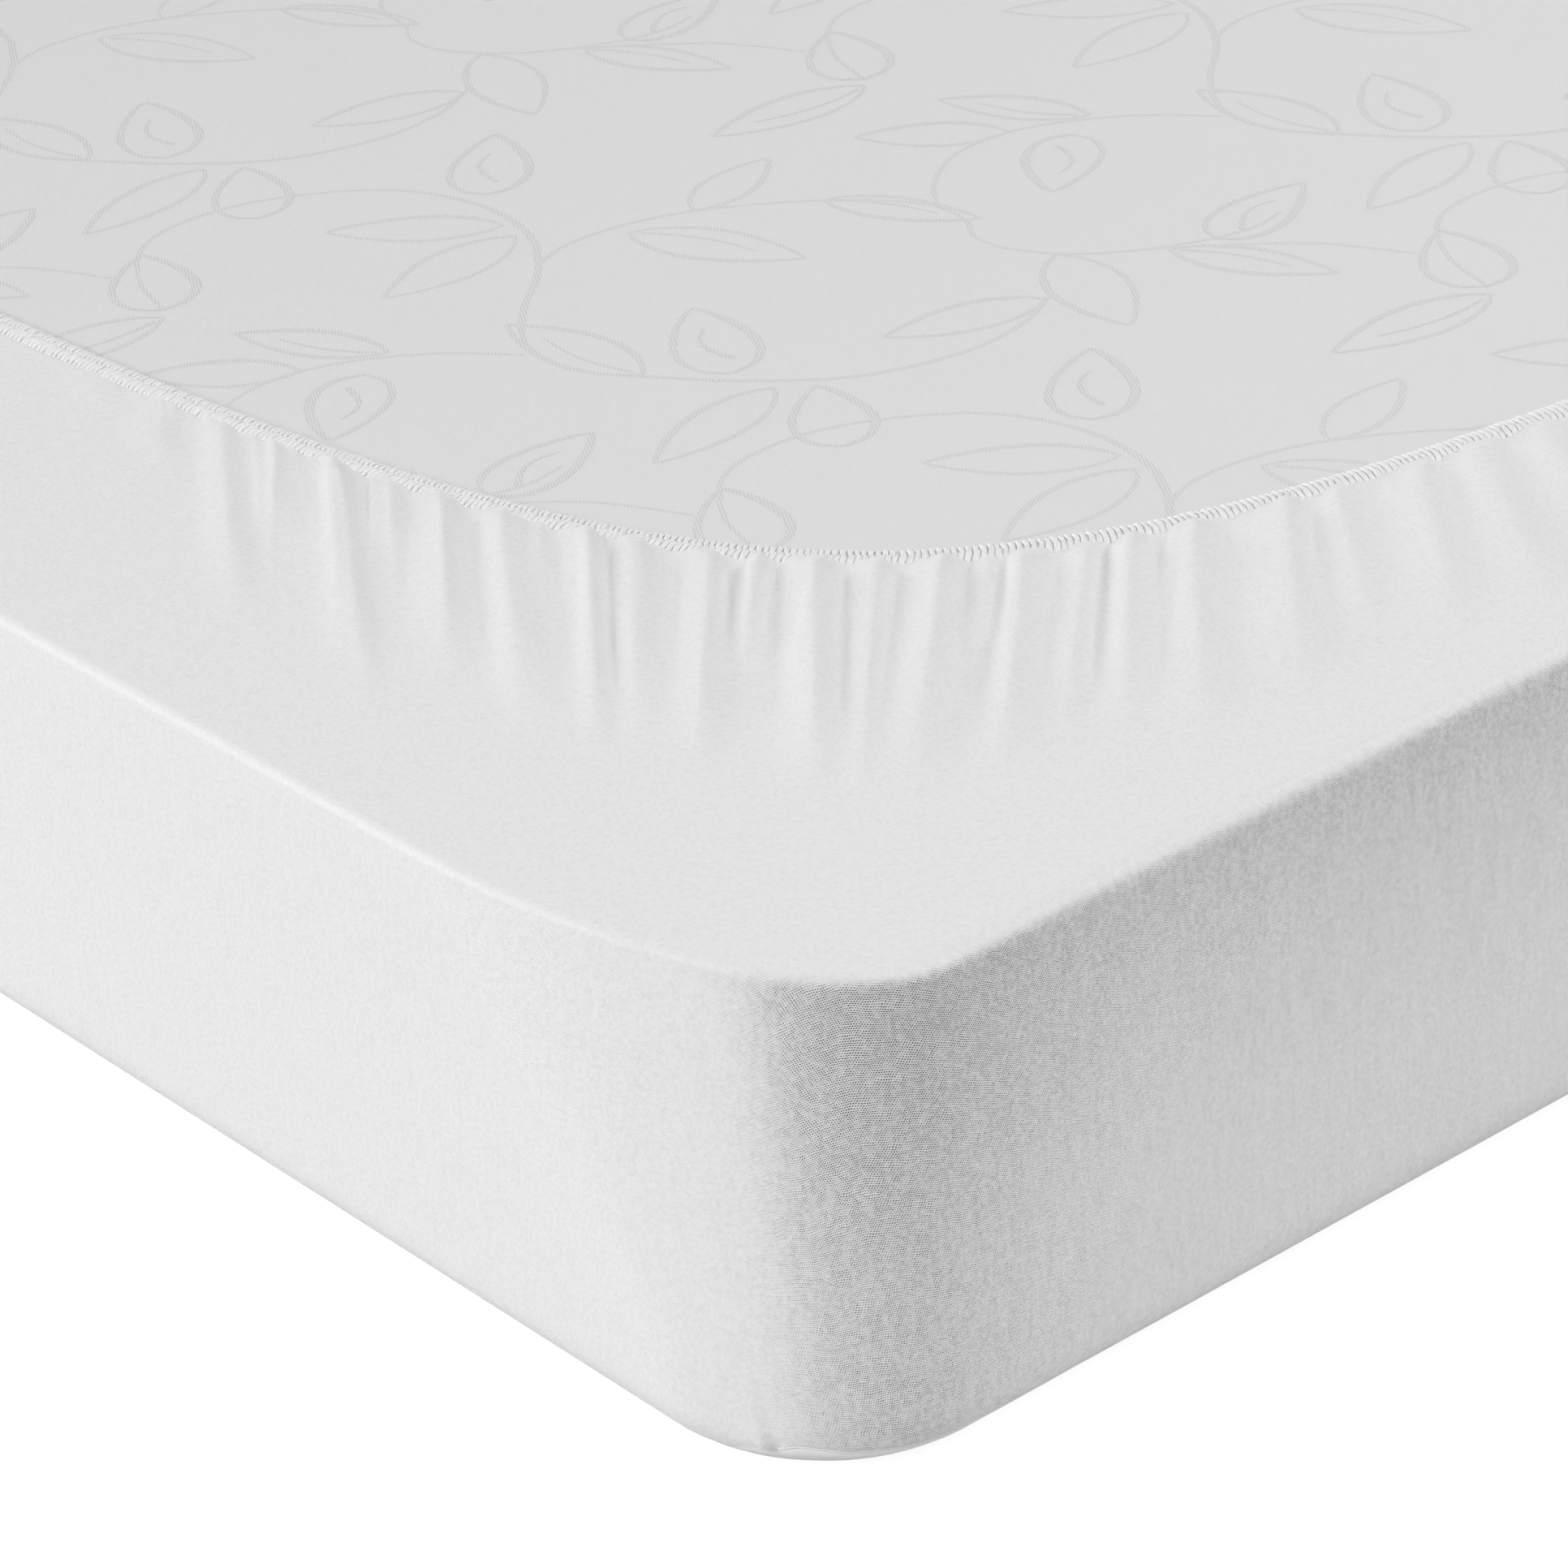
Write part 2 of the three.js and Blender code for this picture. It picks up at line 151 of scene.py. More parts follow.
def by_side(sizes, is_long):
    return np.where(is_long, sizes[LONG], sizes[SHORT])


def hem_inset(along, is_long):
    """Distance in from the side, at a distance along it from the sides' corner."""
    half = by_side(HALF, is_long)
    base, other_base = by_side(HEM_BASE, is_long), by_side(HEM_BASE, ~is_long)
    level_from = by_side(HEM_LEVEL_FROM, is_long)
    slope = (HEM_REACH / (half - other_base)) ** 2
    level = slope * np.maximum(along - level_from, 0) ** 2 / (2 * (half - level_from))
    return base + HEM_REACH**2 / (along - other_base) + level


def hem_run(side):
    """Distances along a side, and the length of hem run from the diagonal to each."""
    along = np.linspace(HEM_BASE[-side] + HEM_REACH, HALF[side], HEM_SAMPLES)
    inset = hem_inset(along, np.full(len(along), side == LONG))
    return along, running(np.hypot(np.diff(along), np.diff(inset)))


HEM_RUN = {side: hem_run(side) for side in SIDES}
HEM_LENGTH = {side: HEM_RUN[side][1][-1] for side in SIDES}


def turn(side):
    """Angle and length of the rounded corner from its diagonal to a side."""
    own, other = CORNER_UPPER[side], CORNER_UPPER[-side]
    angle = math.atan2(own, other)
    return angle, math.hypot(own * math.sin(angle), other * (1 - math.cos(angle)))


TURN = {side: turn(side)[0] for side in SIDES}
ARC = {side: turn(side)[1] for side in SIDES}
RIM_LENGTH = {side: ARC[side] + HALF[side] - CORNER_UPPER[side] for side in SIDES}
RIM_TOTAL = len(CORNERS) * (RIM_LENGTH[LONG] + RIM_LENGTH[SHORT])


def rim_from_hem(hem, side):
    """The length along the rim that a column of the flap joins to a length of hem."""
    start, lateness = LEAN[side]
    share = hem / HEM_LENGTH[side]
    full = RIM_LENGTH[side] / HEM_LENGTH[side]
    return hem * mix(start, full, share**lateness)


# ---- Stations round the outline ----


class Ring:
    """Places round the whole outline, counter-clockwise from the middle of +X."""

    def __init__(self, hems_of):
        """hems_of gives a side's places as lengths of hem from the diagonal."""
        corner, side, hem = [], [], []
        for k in range(len(CORNERS)):
            before, after = sides_of(k)
            towards, away = hems_of(before)[1:][::-1], hems_of(after)[:-1]
            hem += [towards, away]
            side += [np.full(len(towards), before), np.full(len(away), after)]
            corner.append(np.full(len(towards) + len(away), k))
        self.corner = np.concatenate(corner)
        self.side = np.concatenate(side)
        self.hem = np.concatenate(hem)
        self.x, self.y = np.array(CORNERS)[self.corner, :2].T
        self.long = self.side == LONG
        self.rim = by_side({s: rim_from_hem(self.hem, s) for s in SIDES}, self.long)
        self.own, self.other = by_side(HALF, self.long), by_side(HALF, ~self.long)
        own_edge = by_side(EDGE_UPPER, self.long)
        mean_edge = (EDGE_UPPER[LONG] + EDGE_UPPER[SHORT]) / 2
        self.bend = mix(mean_edge, own_edge, smooth(self.rim / EDGE_BLEND))
        self.signed = self.hem * self.side

    def __len__(self):
        return len(self.corner)

    def plan(self, u, v):
        """Plan points from distances along the own side and out towards it."""
        x, y = np.where(self.long, (u, v), (v, u))
        return np.column_stack([self.x * x, self.y * y])

    def outline(self, inset, radii, shrunk):
        """Plan points of an outline, its corner radii shrunk by a length."""
        own = by_side(radii, self.long) - shrunk
        other = by_side(radii, ~self.long) - shrunk
        arc = by_side(ARC, self.long)
        angle = by_side(TURN, self.long) * (1 - np.minimum(self.rim / arc, 1))
        straight = by_side(RIM_LENGTH, self.long) - arc
        along = np.maximum(self.rim - arc, 0) / straight
        u = (self.own - inset - own) * (1 - along) + own * np.sin(angle)
        v = self.other - inset - other + other * np.cos(angle)
        return self.plan(u, v)

    def hem_line(self, offset):
        """Plan points of the hem line moved out by offset, and outward directions."""
        alongs = {s: np.interp(self.hem, *HEM_RUN[s][::-1]) for s in SIDES}
        along = by_side(alongs, self.long)
        step = 0.5 * MM
        ahead = hem_inset(np.minimum(along + step, self.own), self.long)
        slope = (ahead - hem_inset(along - step, self.long)) / (2 * step)
        slope = np.where(self.hem == 0, -1, slope)
        size = np.hypot(1, slope)
        u = self.own - along - offset * slope / size
        v = self.other - hem_inset(along, self.long) + offset / size
        return self.plan(u, v), self.plan(-slope / size, 1 / size)


FINE_STEP, COARSE_STEP, GATHERED_TO = 2.3 * MM, 14 * MM, 372 * MM


def fine_hems(side):
    """Close together where the flap is gathered, wider apart along the sides."""
    end = HEM_LENGTH[side]
    fine = np.arange(0, min(GATHERED_TO, end - 5 * COARSE_STEP), FINE_STEP)
    count = int(round((end - fine[-1]) / COARSE_STEP))
    return np.concatenate([fine, np.linspace(fine[-1], end, count + 1)[1:]])


# ---- Meshes ----


def add_object(name, data):
    added = bpy.data.objects.new(name, data)
    bpy.context.scene.collection.objects.link(added)
    return added


def mesh_object(name, points, faces, smooth_faces=True):
    mesh = bpy.data.meshes.new(name)
    mesh.from_pydata(np.asarray(points, float).tolist(), [], faces)
    if smooth_faces:
        mesh.polygons.foreach_set("use_smooth", [True] * len(mesh.polygons))
    mesh.update()
    return add_object(name, mesh)


def wrapped_quads(rows, columns):
    """Faces of a grid of rows, each one a closed ring."""
    r, c = np.indices((rows - 1, columns))
    after = (c + 1) % columns
    low, high = r * columns, (r + 1) * columns
    quads = np.stack([low + c, low + after, high + after, high + c], -1)
    return quads.reshape(-1, 4)


def closed_sheet(name, rows, low_z, high_z):
    """Rings of points closed by a fan at both ends."""
    rows = np.array(rows)
    count = len(rows[0])
    faces = wrapped_quads(len(rows), count).tolist()
    points = rows.reshape(-1, 3).tolist() + [[0, 0, low_z], [0, 0, high_z]]
    low, high = len(points) - 2, len(points) - 1
    last = (len(rows) - 1) * count
    for c in range(count):
        after = (c + 1) % count
        faces.append([low, after, c])
        faces.append([high, last + c, last + after])
    return mesh_object(name, points, faces)


def set_cloth_uv(piece, around, up, total):
    """Cloth coordinates, at (row, column); the first of them closes after total."""
    rows, columns = up.shape
    u = np.concatenate([around, around[:, :1] + total], 1)
    v = np.concatenate([up, up[:, :1]], 1)
    r, c = np.indices((rows - 1, columns))
    corners = [(r, c), (r, c + 1), (r + 1, c + 1), (r + 1, c)]
    uv = np.stack([np.stack([u[at], v[at]], -1) for at in corners], 2)
    layer = piece.data.uv_layers.new(name="cloth")
    layer.data.foreach_set("uv", uv.reshape(-1).astype(np.float32))


# ---- Skirt ----

GATHER_START = 0.45  # share of a gather's height right at the hem
GATHER_GROWS = 14 * MM  # distance over which it comes to its full height
GATHER_HOLDS, SMALL_HOLDS = 0.55, 0.15  # share of the reach before it fades
GATHER_SPREADS = 0.45  # how much wider a gather is at its end
GATHER_ROUND = 0.4  # its section: 0 is a ridge, 1 a wave
GATHER_BLEND = 2.5  # the higher, the less neighbours add up
SWAY_TO, SWAY_POWER = 1.3, 1.3  # share of the reach that strays, and how late

# Ranges of the small gathers in mm: where they lie, then slope, height, reach, sway.
PUCKERS_AT, PUCKERS_APART = (-330, 370), (6, 15)
PUCKER = (2.6, 5.2), (0.3, 1.1), (9, 26), (-2, 2)
CREASES_AT, CREASES = (-270, 330), 56
CREASE = (3, 7), (0.4, 1.4), (60, 200), (-16, 16)
SMALL_SEED = 20


def gathers_of(corner):
    """A corner's own gathers, in metres."""
    _, _, flip, stretch, shift, swell = CORNERS[corner]
    rows = []
    for at, rise, fall, height, reach, sway in GATHERS:
        slopes = (rise, fall) if flip > 0 else (fall, rise)
        place = flip * at * stretch + shift
        rows.append([place, *slopes, height * swell, reach, flip * sway])
    return np.array(rows) * MM


def small_gathers(corner):
    """Short puckers right at the elastic and longer fine creases, in metres."""
    rng = np.random.default_rng(SMALL_SEED + corner)
    rows = []
    at, end = PUCKERS_AT
    while at < end:
        slope, *others = [rng.uniform(*limits) for limits in PUCKER]
        rows.append([at, slope, slope, *others])
        at += rng.uniform(*PUCKERS_APART)
    for at in rng.uniform(*CREASES_AT, CREASES):
        slopes = rng.uniform(*CREASE[0], 2)
        rows.append([at, *slopes, *[rng.uniform(*limits) for limits in CREASE[1:]]])
    return np.array(rows) * MM


def bells(ring, distance, rows, corner, holds):
    """Heights of one corner's gathers together, at (row, column) distances."""
    here = ring.corner == corner
    place = ring.signed[here][None, :]
    away = distance[:, here]
    height = np.zeros_like(away)
    for at, rise, fall, full, reach, sway in rows:
        share = away / reach
        spread = 1 + GATHER_SPREADS * np.clip(share, 0, 1)
        offset = place - at - sway * np.clip(share, 0, SWAY_TO) ** SWAY_POWER
        t = np.where(offset > 0, offset / rise, -offset / fall) / spread
        bell = mix(1 - t, (1 + np.cos(math.pi * t)) / 2, GATHER_ROUND)
        fade = 1 - smooth((share - holds) / (1 - holds))
        alone = np.where(t < 1, np.maximum(full * bell, 0) * fade, 0)
        height += alone**GATHER_BLEND
    return here, height ** (1 / GATHER_BLEND)


def gather_heights(ring, distance):
    """Height of the cloth above where it lies flat, at (row, column) distances."""
    height = np.zeros_like(distance)
    grow = mix(GATHER_START, 1, smooth(distance / GATHER_GROWS))
    for corner in range(len(CORNERS)):
        large, small = gathers_of(corner), small_gathers(corner)
        here, main = bells(ring, distance, large, corner, GATHER_HOLDS)
        _, fine = bells(ring, distance, small, corner, SMALL_HOLDS)
        height[:, here] = main * grow[:, here] + fine
    return height


def seam_dip(ring):
    """How far below level the seam runs, in radians: it rises round the corners."""
    degrees = mix(SEAM_DIP_CORNER, SEAM_DIP_SIDE, smooth(ring.rim / SEAM_RISE))
    drawn = np.exp(-(((ring.side * ring.rim - DRAWN_AT) / DRAWN_OVER) ** 2))
    slow, quick = [np.sin(ring.rim / length) for length in DRAWN_WAVES]
    uneven = DRAWN_SWAY * (slow + quick / 2)
    return np.radians(degrees - (DRAWN_UP + uneven) * drawn)


def lower_edge(ring, angle, depth, bend, shrunk):
    """A row on the lower edge.  depth: distance in from the outer face."""
    turned_in = bend * (1 - np.cos(angle))
    plan = ring.outline(depth + turned_in, CORNER_LOWER, shrunk + turned_in)
    z = np.broadcast_to(depth + bend * (1 - np.sin(angle)), len(ring))
    return np.column_stack([plan, z])


def upper_edge(ring, angle, depth, ease, top):
    """A row on the upper edge.  ease: what its radius has over the cloth's."""
    bend = ring.bend - depth + ease
    turned_in = bend * (1 - math.cos(angle))
    plan = ring.outline(depth + turned_in, CORNER_UPPER, depth - ease + turned_in)
    return np.column_stack([plan, top - bend * (1 - math.sin(angle))])


# Shares of the way from the elastic to the rim, closest together at the elastic.
FLAP_ROWS, FLAP_CROWDING = 33, 1.55
FLAP_SHARES = np.linspace(0, 1, FLAP_ROWS + 1)[:-1] ** FLAP_CROWDING
FLAP_SHARES = np.append(FLAP_SHARES, [0.985, 1])
LOWER_SHARES = (1, 0.975, 0.945, 0.91, 0.86, 0.78, 0.66, 0.5, 0.33, 0.16, 0)
SIDE_ROWS, UPPER_ROWS = 10, 6
RELIEF_ROWS = len(LOWER_SHARES) + 4  # the rows that the pleat may reach
RADIUS_GROWS = 1.4  # how late, going up, the corner's radius grows
NEAR_EDGE = 1.5 * MM  # rows beside an edge that keep its shading crisp
FLAP_UNDER = 1.2 * MM  # how far the flap runs in under the threads


def skirt_rows(ring):
    """The skirt from the seam up the side and over the flap to the elastic."""
    rows = []
    dip = seam_dip(ring)
    for t in LOWER_SHARES:
        rows.append(lower_edge(ring, dip * t, 0, EDGE_LOWER, 0))
    low, high = EDGE_LOWER + NEAR_EDGE, FLAP - ring.bend - NEAR_EDGE
    for t in np.linspace(0, 1, SIDE_ROWS):
        radii = {
            side: mix(CORNER_LOWER[side], CORNER_UPPER[side], t**RADIUS_GROWS)
            for side in SIDES
        }
        rows.append(np.column_stack([ring.outline(0, radii, 0), mix(low, high, t)]))
    for angle in np.linspace(0, math.pi / 2, UPPER_ROWS + 1)[:-1]:
        rows.append(upper_edge(ring, angle, 0, 0, FLAP))
    rim = ring.outline(ring.bend, CORNER_UPPER, ring.bend)
    hem, _ = ring.hem_line(ELASTIC_WIDTH - FLAP_UNDER)
    length = np.linalg.norm(rim - hem, axis=1)
    shares = FLAP_SHARES[::-1][:, None]
    height = gather_heights(ring, shares * length[None, :])
    for share, lift in zip(shares[:, 0], height):
        rows.append(np.column_stack([mix(hem, rim, share), FLAP + lift]))
    rows = np.array(rows)
    lowest = rows[:RELIEF_ROWS]
    lowest += outward(lowest) * seam_relief(ring, lowest)[:, :, None]
    return rows


WALES = 1.08 / MM  # columns of stitches, per length round the skirt
WALE_BOW, WALE_BOW_AT = 0.0011, 140  # how the columns bow, in mm
COURSES = (0.55, 0.84)  # rows of stitches per mm: at a corner, and far off
COURSES_OVER = 115 * MM
ROWS_CLIMB, ROWS_CLIMB_OVER = 0.12, 350  # how the rows rise to a corner, in mm
ROWS_ROUND = 40  # how wide, in mm, their turn at the corner is
PULLED_FROM = 60  # length up the cloth, in mm, at which rows of any pitch line up

# The stretch: how far it reaches from a corner, on the long side at the bottom and
# at the top; how steeply it drops; and what is left of it far along the side.
LONG_STRETCH, LONG_DROP, LONG_LEFT = (84 * MM, 46 * MM), 3, 0.08
SHORT_STRETCH, SHORT_DROP, SHORT_LEFT = 66 * MM, 1.5, 0.32
EDGE_STRETCH, EDGE_OVER = 0.3, 20 * MM  # along the short side's upper edge
LOW_STRETCH, GROWS_FROM, GROWS_OVER = 0.5, 60 * MM, 130 * MM
MOST_STRETCH = 1.05
FLAP_MARGIN, FLAP_FADE = 1 * MM, 6 * MM  # the stretch ends below the flap


def openness(ring, rows):
    """How far the knit is stretched open: most round the upright corners. It also sets
    how much painted shade the holes, the rows and the puckers get.
    """
    z = rows[:, :, 2]
    spread = mix(*LONG_STRETCH, smooth(z / FLAP))
    to_long = mix(LONG_LEFT, 1, np.exp(-((ring.rim / spread) ** LONG_DROP)))
    to_short = mix(SHORT_LEFT, 1, np.exp(-((ring.rim / SHORT_STRETCH) ** SHORT_DROP)))
    near = np.where(ring.long, to_long, to_short)
    edge = EDGE_STRETCH * np.exp(-((FLAP - z) / EDGE_OVER)) * ~ring.long
    side = smooth((FLAP - FLAP_MARGIN - z) / FLAP_FADE)
    higher = mix(LOW_STRETCH, 1, smooth((z - GROWS_FROM) / GROWS_OVER))
    return np.minimum(near * higher + edge, MOST_STRETCH) * side


def length_up(rows):
    """Length of cloth from the lowest row to each, at (row, column)."""
    return running(np.linalg.norm(np.diff(rows, axis=0), axis=2))


def outward(rows):
    """Unit normals of a grid of rows."""
    around = np.roll(rows, -1, 1) - np.roll(rows, 1, 1)
    normal = np.cross(around, np.gradient(rows, axis=0))
    return normal / np.linalg.norm(normal, axis=2, keepdims=True)


PLEAT_AT, PLEAT_HALF, PLEAT_TALL = 104 * MM, 6 * MM, 17 * MM
PLEAT_HEIGHT, PLEAT_LEAN = 3.2 * MM, 0.9
VALLEY_AT, VALLEY_DEPTH = 1.8, 0.5  # in half widths and heights of the pleat
TUCK, TUCK_OVER = 0.9 * MM, 1.6 * MM  # how the cloth rolls in at the seam


def seam_relief(ring, rows):
    """How far the lowest cloth stands out: a pleat at each corner, a tuck all round."""
    above = rows[:, :, 2] - rows[0, :, 2]
    offset = ring.side * ring.rim - PLEAT_AT - PLEAT_LEAN * above
    ridge = np.exp(-((offset / PLEAT_HALF) ** 2))
    valley = VALLEY_DEPTH * np.exp(-((offset / PLEAT_HALF + VALLEY_AT) ** 2))
    pleat = PLEAT_HEIGHT * (ridge - valley) * (1 - smooth(above / PLEAT_TALL))
    up = length_up(rows)
    tuck = TUCK * np.exp(-((up / TUCK_OVER) ** 2))
    return pleat * smooth(up / (2 * TUCK_OVER)) - tuck


def stitch_coordinates(ring, rows):
    """Counts of stitch columns round the skirt and of stitch rows up it."""
    wales = np.zeros(rows.shape[:2])
    flat = len(rows) - len(FLAP_SHARES)
    start = 0.0
    for corner in range(len(CORNERS)):
        for side in sides_of(corner):
            here = np.flatnonzero((ring.corner == corner) & (ring.side == side))
            ends = np.append(here, (here[-1] + 1) % len(ring))
            step = np.linalg.norm(np.diff(rows[:, ends, :2], axis=1), axis=2)
            run = running(step, 1)
            run *= RIM_LENGTH[side] / run[:, -1:]
            wales[:, here] = start + run[:, :-1]
            start += RIM_LENGTH[side]
    wales[flat + 1:] = wales[flat]
    up = length_up(rows) / MM
    total = round(RIM_TOTAL * WALES)
    wales = wales * total / RIM_TOTAL - WALE_BOW * (up - WALE_BOW_AT) ** 2
    away = np.hypot(ring.rim / MM, ROWS_ROUND)
    climb = ROWS_CLIMB * ROWS_CLIMB_OVER * (1 - np.exp(-away / ROWS_CLIMB_OVER))
    per_mm = mix(COURSES[1], COURSES[0], np.exp(-((ring.rim / COURSES_OVER) ** 2)))
    courses = (up - PULLED_FROM) * per_mm + climb
    return wales, courses, total


def build_skirt():
    ring = Ring(fine_hems)
    rows = skirt_rows(ring)
    faces = wrapped_quads(len(rows), len(ring)).tolist()
    piece = mesh_object("skirt_cloth", rows.reshape(-1, 3), faces)
    set_cloth_uv(piece, *stitch_coordinates(ring, rows))
    layer = piece.data.attributes.new("openness", "FLOAT", "POINT")
    layer.data.foreach_set("value", openness(ring, rows).astype(np.float32).reshape(-1))
    return piece


# ---- Elastic edge ----


def even_hems(step):
    """Stations an even step apart along the hem."""
    def hems(side):
        end = HEM_LENGTH[side]
        return np.linspace(0, end, int(round(end / step)) + 1)

    return hems


BAND_STEP, BAND_SECTION = 6 * MM, 14
BAND_WIDE, BAND_HIGH = 0.7, 0.8  # powers below 1 make the section a rounded oblong


def oblong(value, power):
    """A sine or cosine pushed out towards 1 or -1."""
    return math.copysign(abs(value) ** power, value)


def build_band():
    """The covered elastic itself, which shows between the overlock threads."""
    ring = Ring(even_hems(BAND_STEP))
    rows = []
    for angle in np.linspace(0, 2 * math.pi, BAND_SECTION, endpoint=False):
        reach = 0.5 * ELASTIC_WIDTH * oblong(math.cos(angle), BAND_WIDE)
        rise = 0.5 * ELASTIC_HEIGHT * oblong(math.sin(angle), BAND_HIGH)
        plan, _ = ring.hem_line(ELASTIC_WIDTH / 2 + reach)
        z = np.full(len(ring), FLAP_FLOOR + ELASTIC_HEIGHT / 2 + rise)
        rows.append(np.column_stack([plan, z]))
    count = len(ring)
    faces = wrapped_quads(BAND_SECTION + 1, count) % (BAND_SECTION * count)
    return mesh_object("elastic_band", np.concatenate(rows), faces.tolist())


def tubes(name, paths, sideways, radii, thickness, sides=6):
    """Short fat threads.  paths: (thread, step, xyz); radii: (thread, step)."""
    count, steps, _ = paths.shape
    tangent = np.gradient(paths, axis=1)
    tangent /= np.linalg.norm(tangent, axis=2, keepdims=True)
    sideways = np.broadcast_to(sideways[:, None, :], paths.shape).copy()
    sideways -= tangent * (sideways * tangent).sum(2, keepdims=True)
    sideways /= np.linalg.norm(sideways, axis=2, keepdims=True)
    normal = np.cross(tangent, sideways)
    points = []
    for k in range(sides):
        turned = 2 * math.pi * k / sides
        offset = sideways * math.cos(turned) + thickness * normal * math.sin(turned)
        points.append(paths + offset * radii[:, :, None])
    points = np.stack(points, 2)  # thread, step, side, xyz
    n, j, k = np.indices((count, steps - 1, sides))
    base = (n * steps + j) * sides
    after = (k + 1) % sides
    quads = np.stack(
        [base + k, base + after, base + sides + after, base + sides + k], -1
    ).reshape(-1, 4).tolist()
    ends = np.arange(count)[:, None] * steps * sides
    first = (ends + np.arange(sides)[::-1]).tolist()
    last = (ends + (steps - 1) * sides + np.arange(sides)).tolist()
    return mesh_object(name, points.reshape(-1, 3), quads + first + last)


STITCH = 2.8 * MM  # pitch of the overlock
# Where a thread of either tier lies over the band: across it from the hem, and up.
LOWER_TIER = [(11.4, 0.2), (10.9, 1.5), (9.6, 2.5), (7.6, 3.0), (5.9, 3.0), (4.9, 2.6)]
UPPER_TIER = [(6.4, 2.7), (5.2, 3.25), (3.2, 3.35), (1.4, 3.0), (0.2, 2.0), (-0.2, 0.6)]
THREAD_SWELL = (0.5, 0.88, 1, 1, 0.88, 0.5)
THREAD_FLAT = 0.7  # a thread's thickness as a share of its width
# How far threads differ: leaning, sliding along, standing higher, being fatter.
LEANS, SLIDES, STANDS, FATTER = 0.7 * MM, 0.3 * MM, 0.07, 0.12


def build_threads(name, tier, phase, seed, radius, lean):
    """One tier of overlock threads: a short fat thread across the band a stitch."""
    rng = np.random.default_rng(seed)

    def hems(side):
        end = HEM_LENGTH[side]
        count = int(round(end / STITCH))
        places = (np.arange(count + 1) + phase * (side == LONG)) * end / count
        return np.clip(places, 0, end)

    ring = Ring(hems)
    count = len(ring)
    slide_by, lean_by, lift_by, fatter_by = rng.uniform(-1, 1, (4, count))
    centre, out = ring.hem_line(0.0)
    along = np.column_stack([-out[:, 1], out[:, 0]])
    paths = np.zeros((count, len(tier), 3))
    for j, (across, up) in enumerate(np.array(tier) * MM):
        share = j / (len(tier) - 1) - 0.5
        slide = (lean + LEANS * lean_by) * share + SLIDES * slide_by
        paths[:, j, :2] = centre + out * across + along * slide[:, None]
        paths[:, j, 2] = FLAP_FLOOR + up * (1 + STANDS * lift_by)
    radii = radius * (1 + FATTER * fatter_by)[:, None] * np.array(THREAD_SWELL)
    sideways = np.column_stack([along, np.zeros(count)])
    return tubes(name, paths, sideways, radii, THREAD_FLAT)


# ---- Sleeping panel and its seam ----


def even_rims(step):
    """Stations an even step apart along the rim."""
    def hems(side):
        fine = np.linspace(0, HEM_LENGTH[side], RIM_SAMPLES)
        end = RIM_LENGTH[side]
        rims = np.linspace(0, end, int(round(end / step)) + 1)
        return np.interp(rims, rim_from_hem(fine, side), fine)

    return hems


def inner_rings(row, shares):
    """Smaller copies of a level row, which fill the flat inside it."""
    return [row * [share, share, 1] for share in shares]


PANEL_STEP = 8 * MM
PANEL_RIM = 0.7 * MM  # depth of the row in the middle of its rim
PANEL_TURNS = (0, 0.3, 0.6, 0.8, 0.92)  # shares of the way up its outer edge
PANEL_INSIDE, PANEL_RINGS = 5, (0.25, 0.5, 0.75, 0.9)


def build_panel():
    """The protector's main panel, a closed sheet with its rim turned up."""
    ring = Ring(even_rims(PANEL_STEP))
    dip = seam_dip(ring) + GAP / EDGE_LOWER

    def turned_up(share, depth):
        angle = mix(math.pi / 2, dip, share)
        return lower_edge(ring, angle, depth, EDGE_LOWER - depth, depth)

    outer = [turned_up(share, 0) for share in PANEL_TURNS]
    rim = turned_up(1, PANEL_RIM)
    inner = [turned_up(share, PANEL) for share in np.linspace(1, 0, PANEL_INSIDE)]
    flat_out = inner_rings(outer[0], PANEL_RINGS)
    flat_in = inner_rings(inner[-1], PANEL_RINGS[::-1])
    rows = flat_out + outer + [rim] + inner + flat_in
    return closed_sheet("panel_cloth", rows, 0, PANEL)


SEAM_STITCH, SEAM_ROW = 2.9 * MM, 2  # pitch, and the skirt's row it runs on
SEAM_HALF, SEAM_VARIES = 0.36, 0.15  # half a stitch's length, in pitches
SEAM_CREST, SEAM_SINKS = 0.22 * MM, 0.35 * MM
SEAM_RADIUS, SEAM_FLAT = 0.45 * MM, 0.8
SEAM_SWELL = (0.5, 0.9, 1, 0.9, 0.5)
SEAM_SEED = 9


def build_seam_stitches():
    """The line of stitches just above the seam between panel and skirt."""
    rng = np.random.default_rng(SEAM_SEED)
    ring = Ring(even_rims(SEAM_STITCH))
    rows = skirt_rows(ring)[:SEAM_ROW + 2]
    centre, out = rows[SEAM_ROW], outward(rows)[SEAM_ROW]
    along = np.roll(centre, -1, 0) - np.roll(centre, 1, 0)
    along /= np.linalg.norm(along, axis=1, keepdims=True)
    shares = np.linspace(-1, 1, len(SEAM_SWELL))
    varied = 1 + SEAM_VARIES * rng.uniform(-1, 1, len(ring))
    reach = SEAM_HALF * SEAM_STITCH * varied[:, None] * shares
    paths = centre[:, None, :] + along[:, None, :] * reach[:, :, None]
    rise = SEAM_CREST - SEAM_SINKS * shares**2
    paths += out[:, None, :] * rise[None, :, None]
    radii = np.broadcast_to(SEAM_RADIUS * np.array(SEAM_SWELL), paths.shape[:2])
    return tubes("seam_stitches", paths, np.cross(along, out), radii, SEAM_FLAT)


# ---- Mattress ----

# A larger radius inside two touching faces opens a clearance at 45 degrees.
EASE = (PANEL - GAP) / (math.sqrt(2) - 1)
MATTRESS_STEP = 15 * MM
MATTRESS_TURNS = 7, 8  # rows on the lower and the upper edge
MATTRESS_RINGS = (0.9, 0.8, 0.65, 0.45, 0.22)


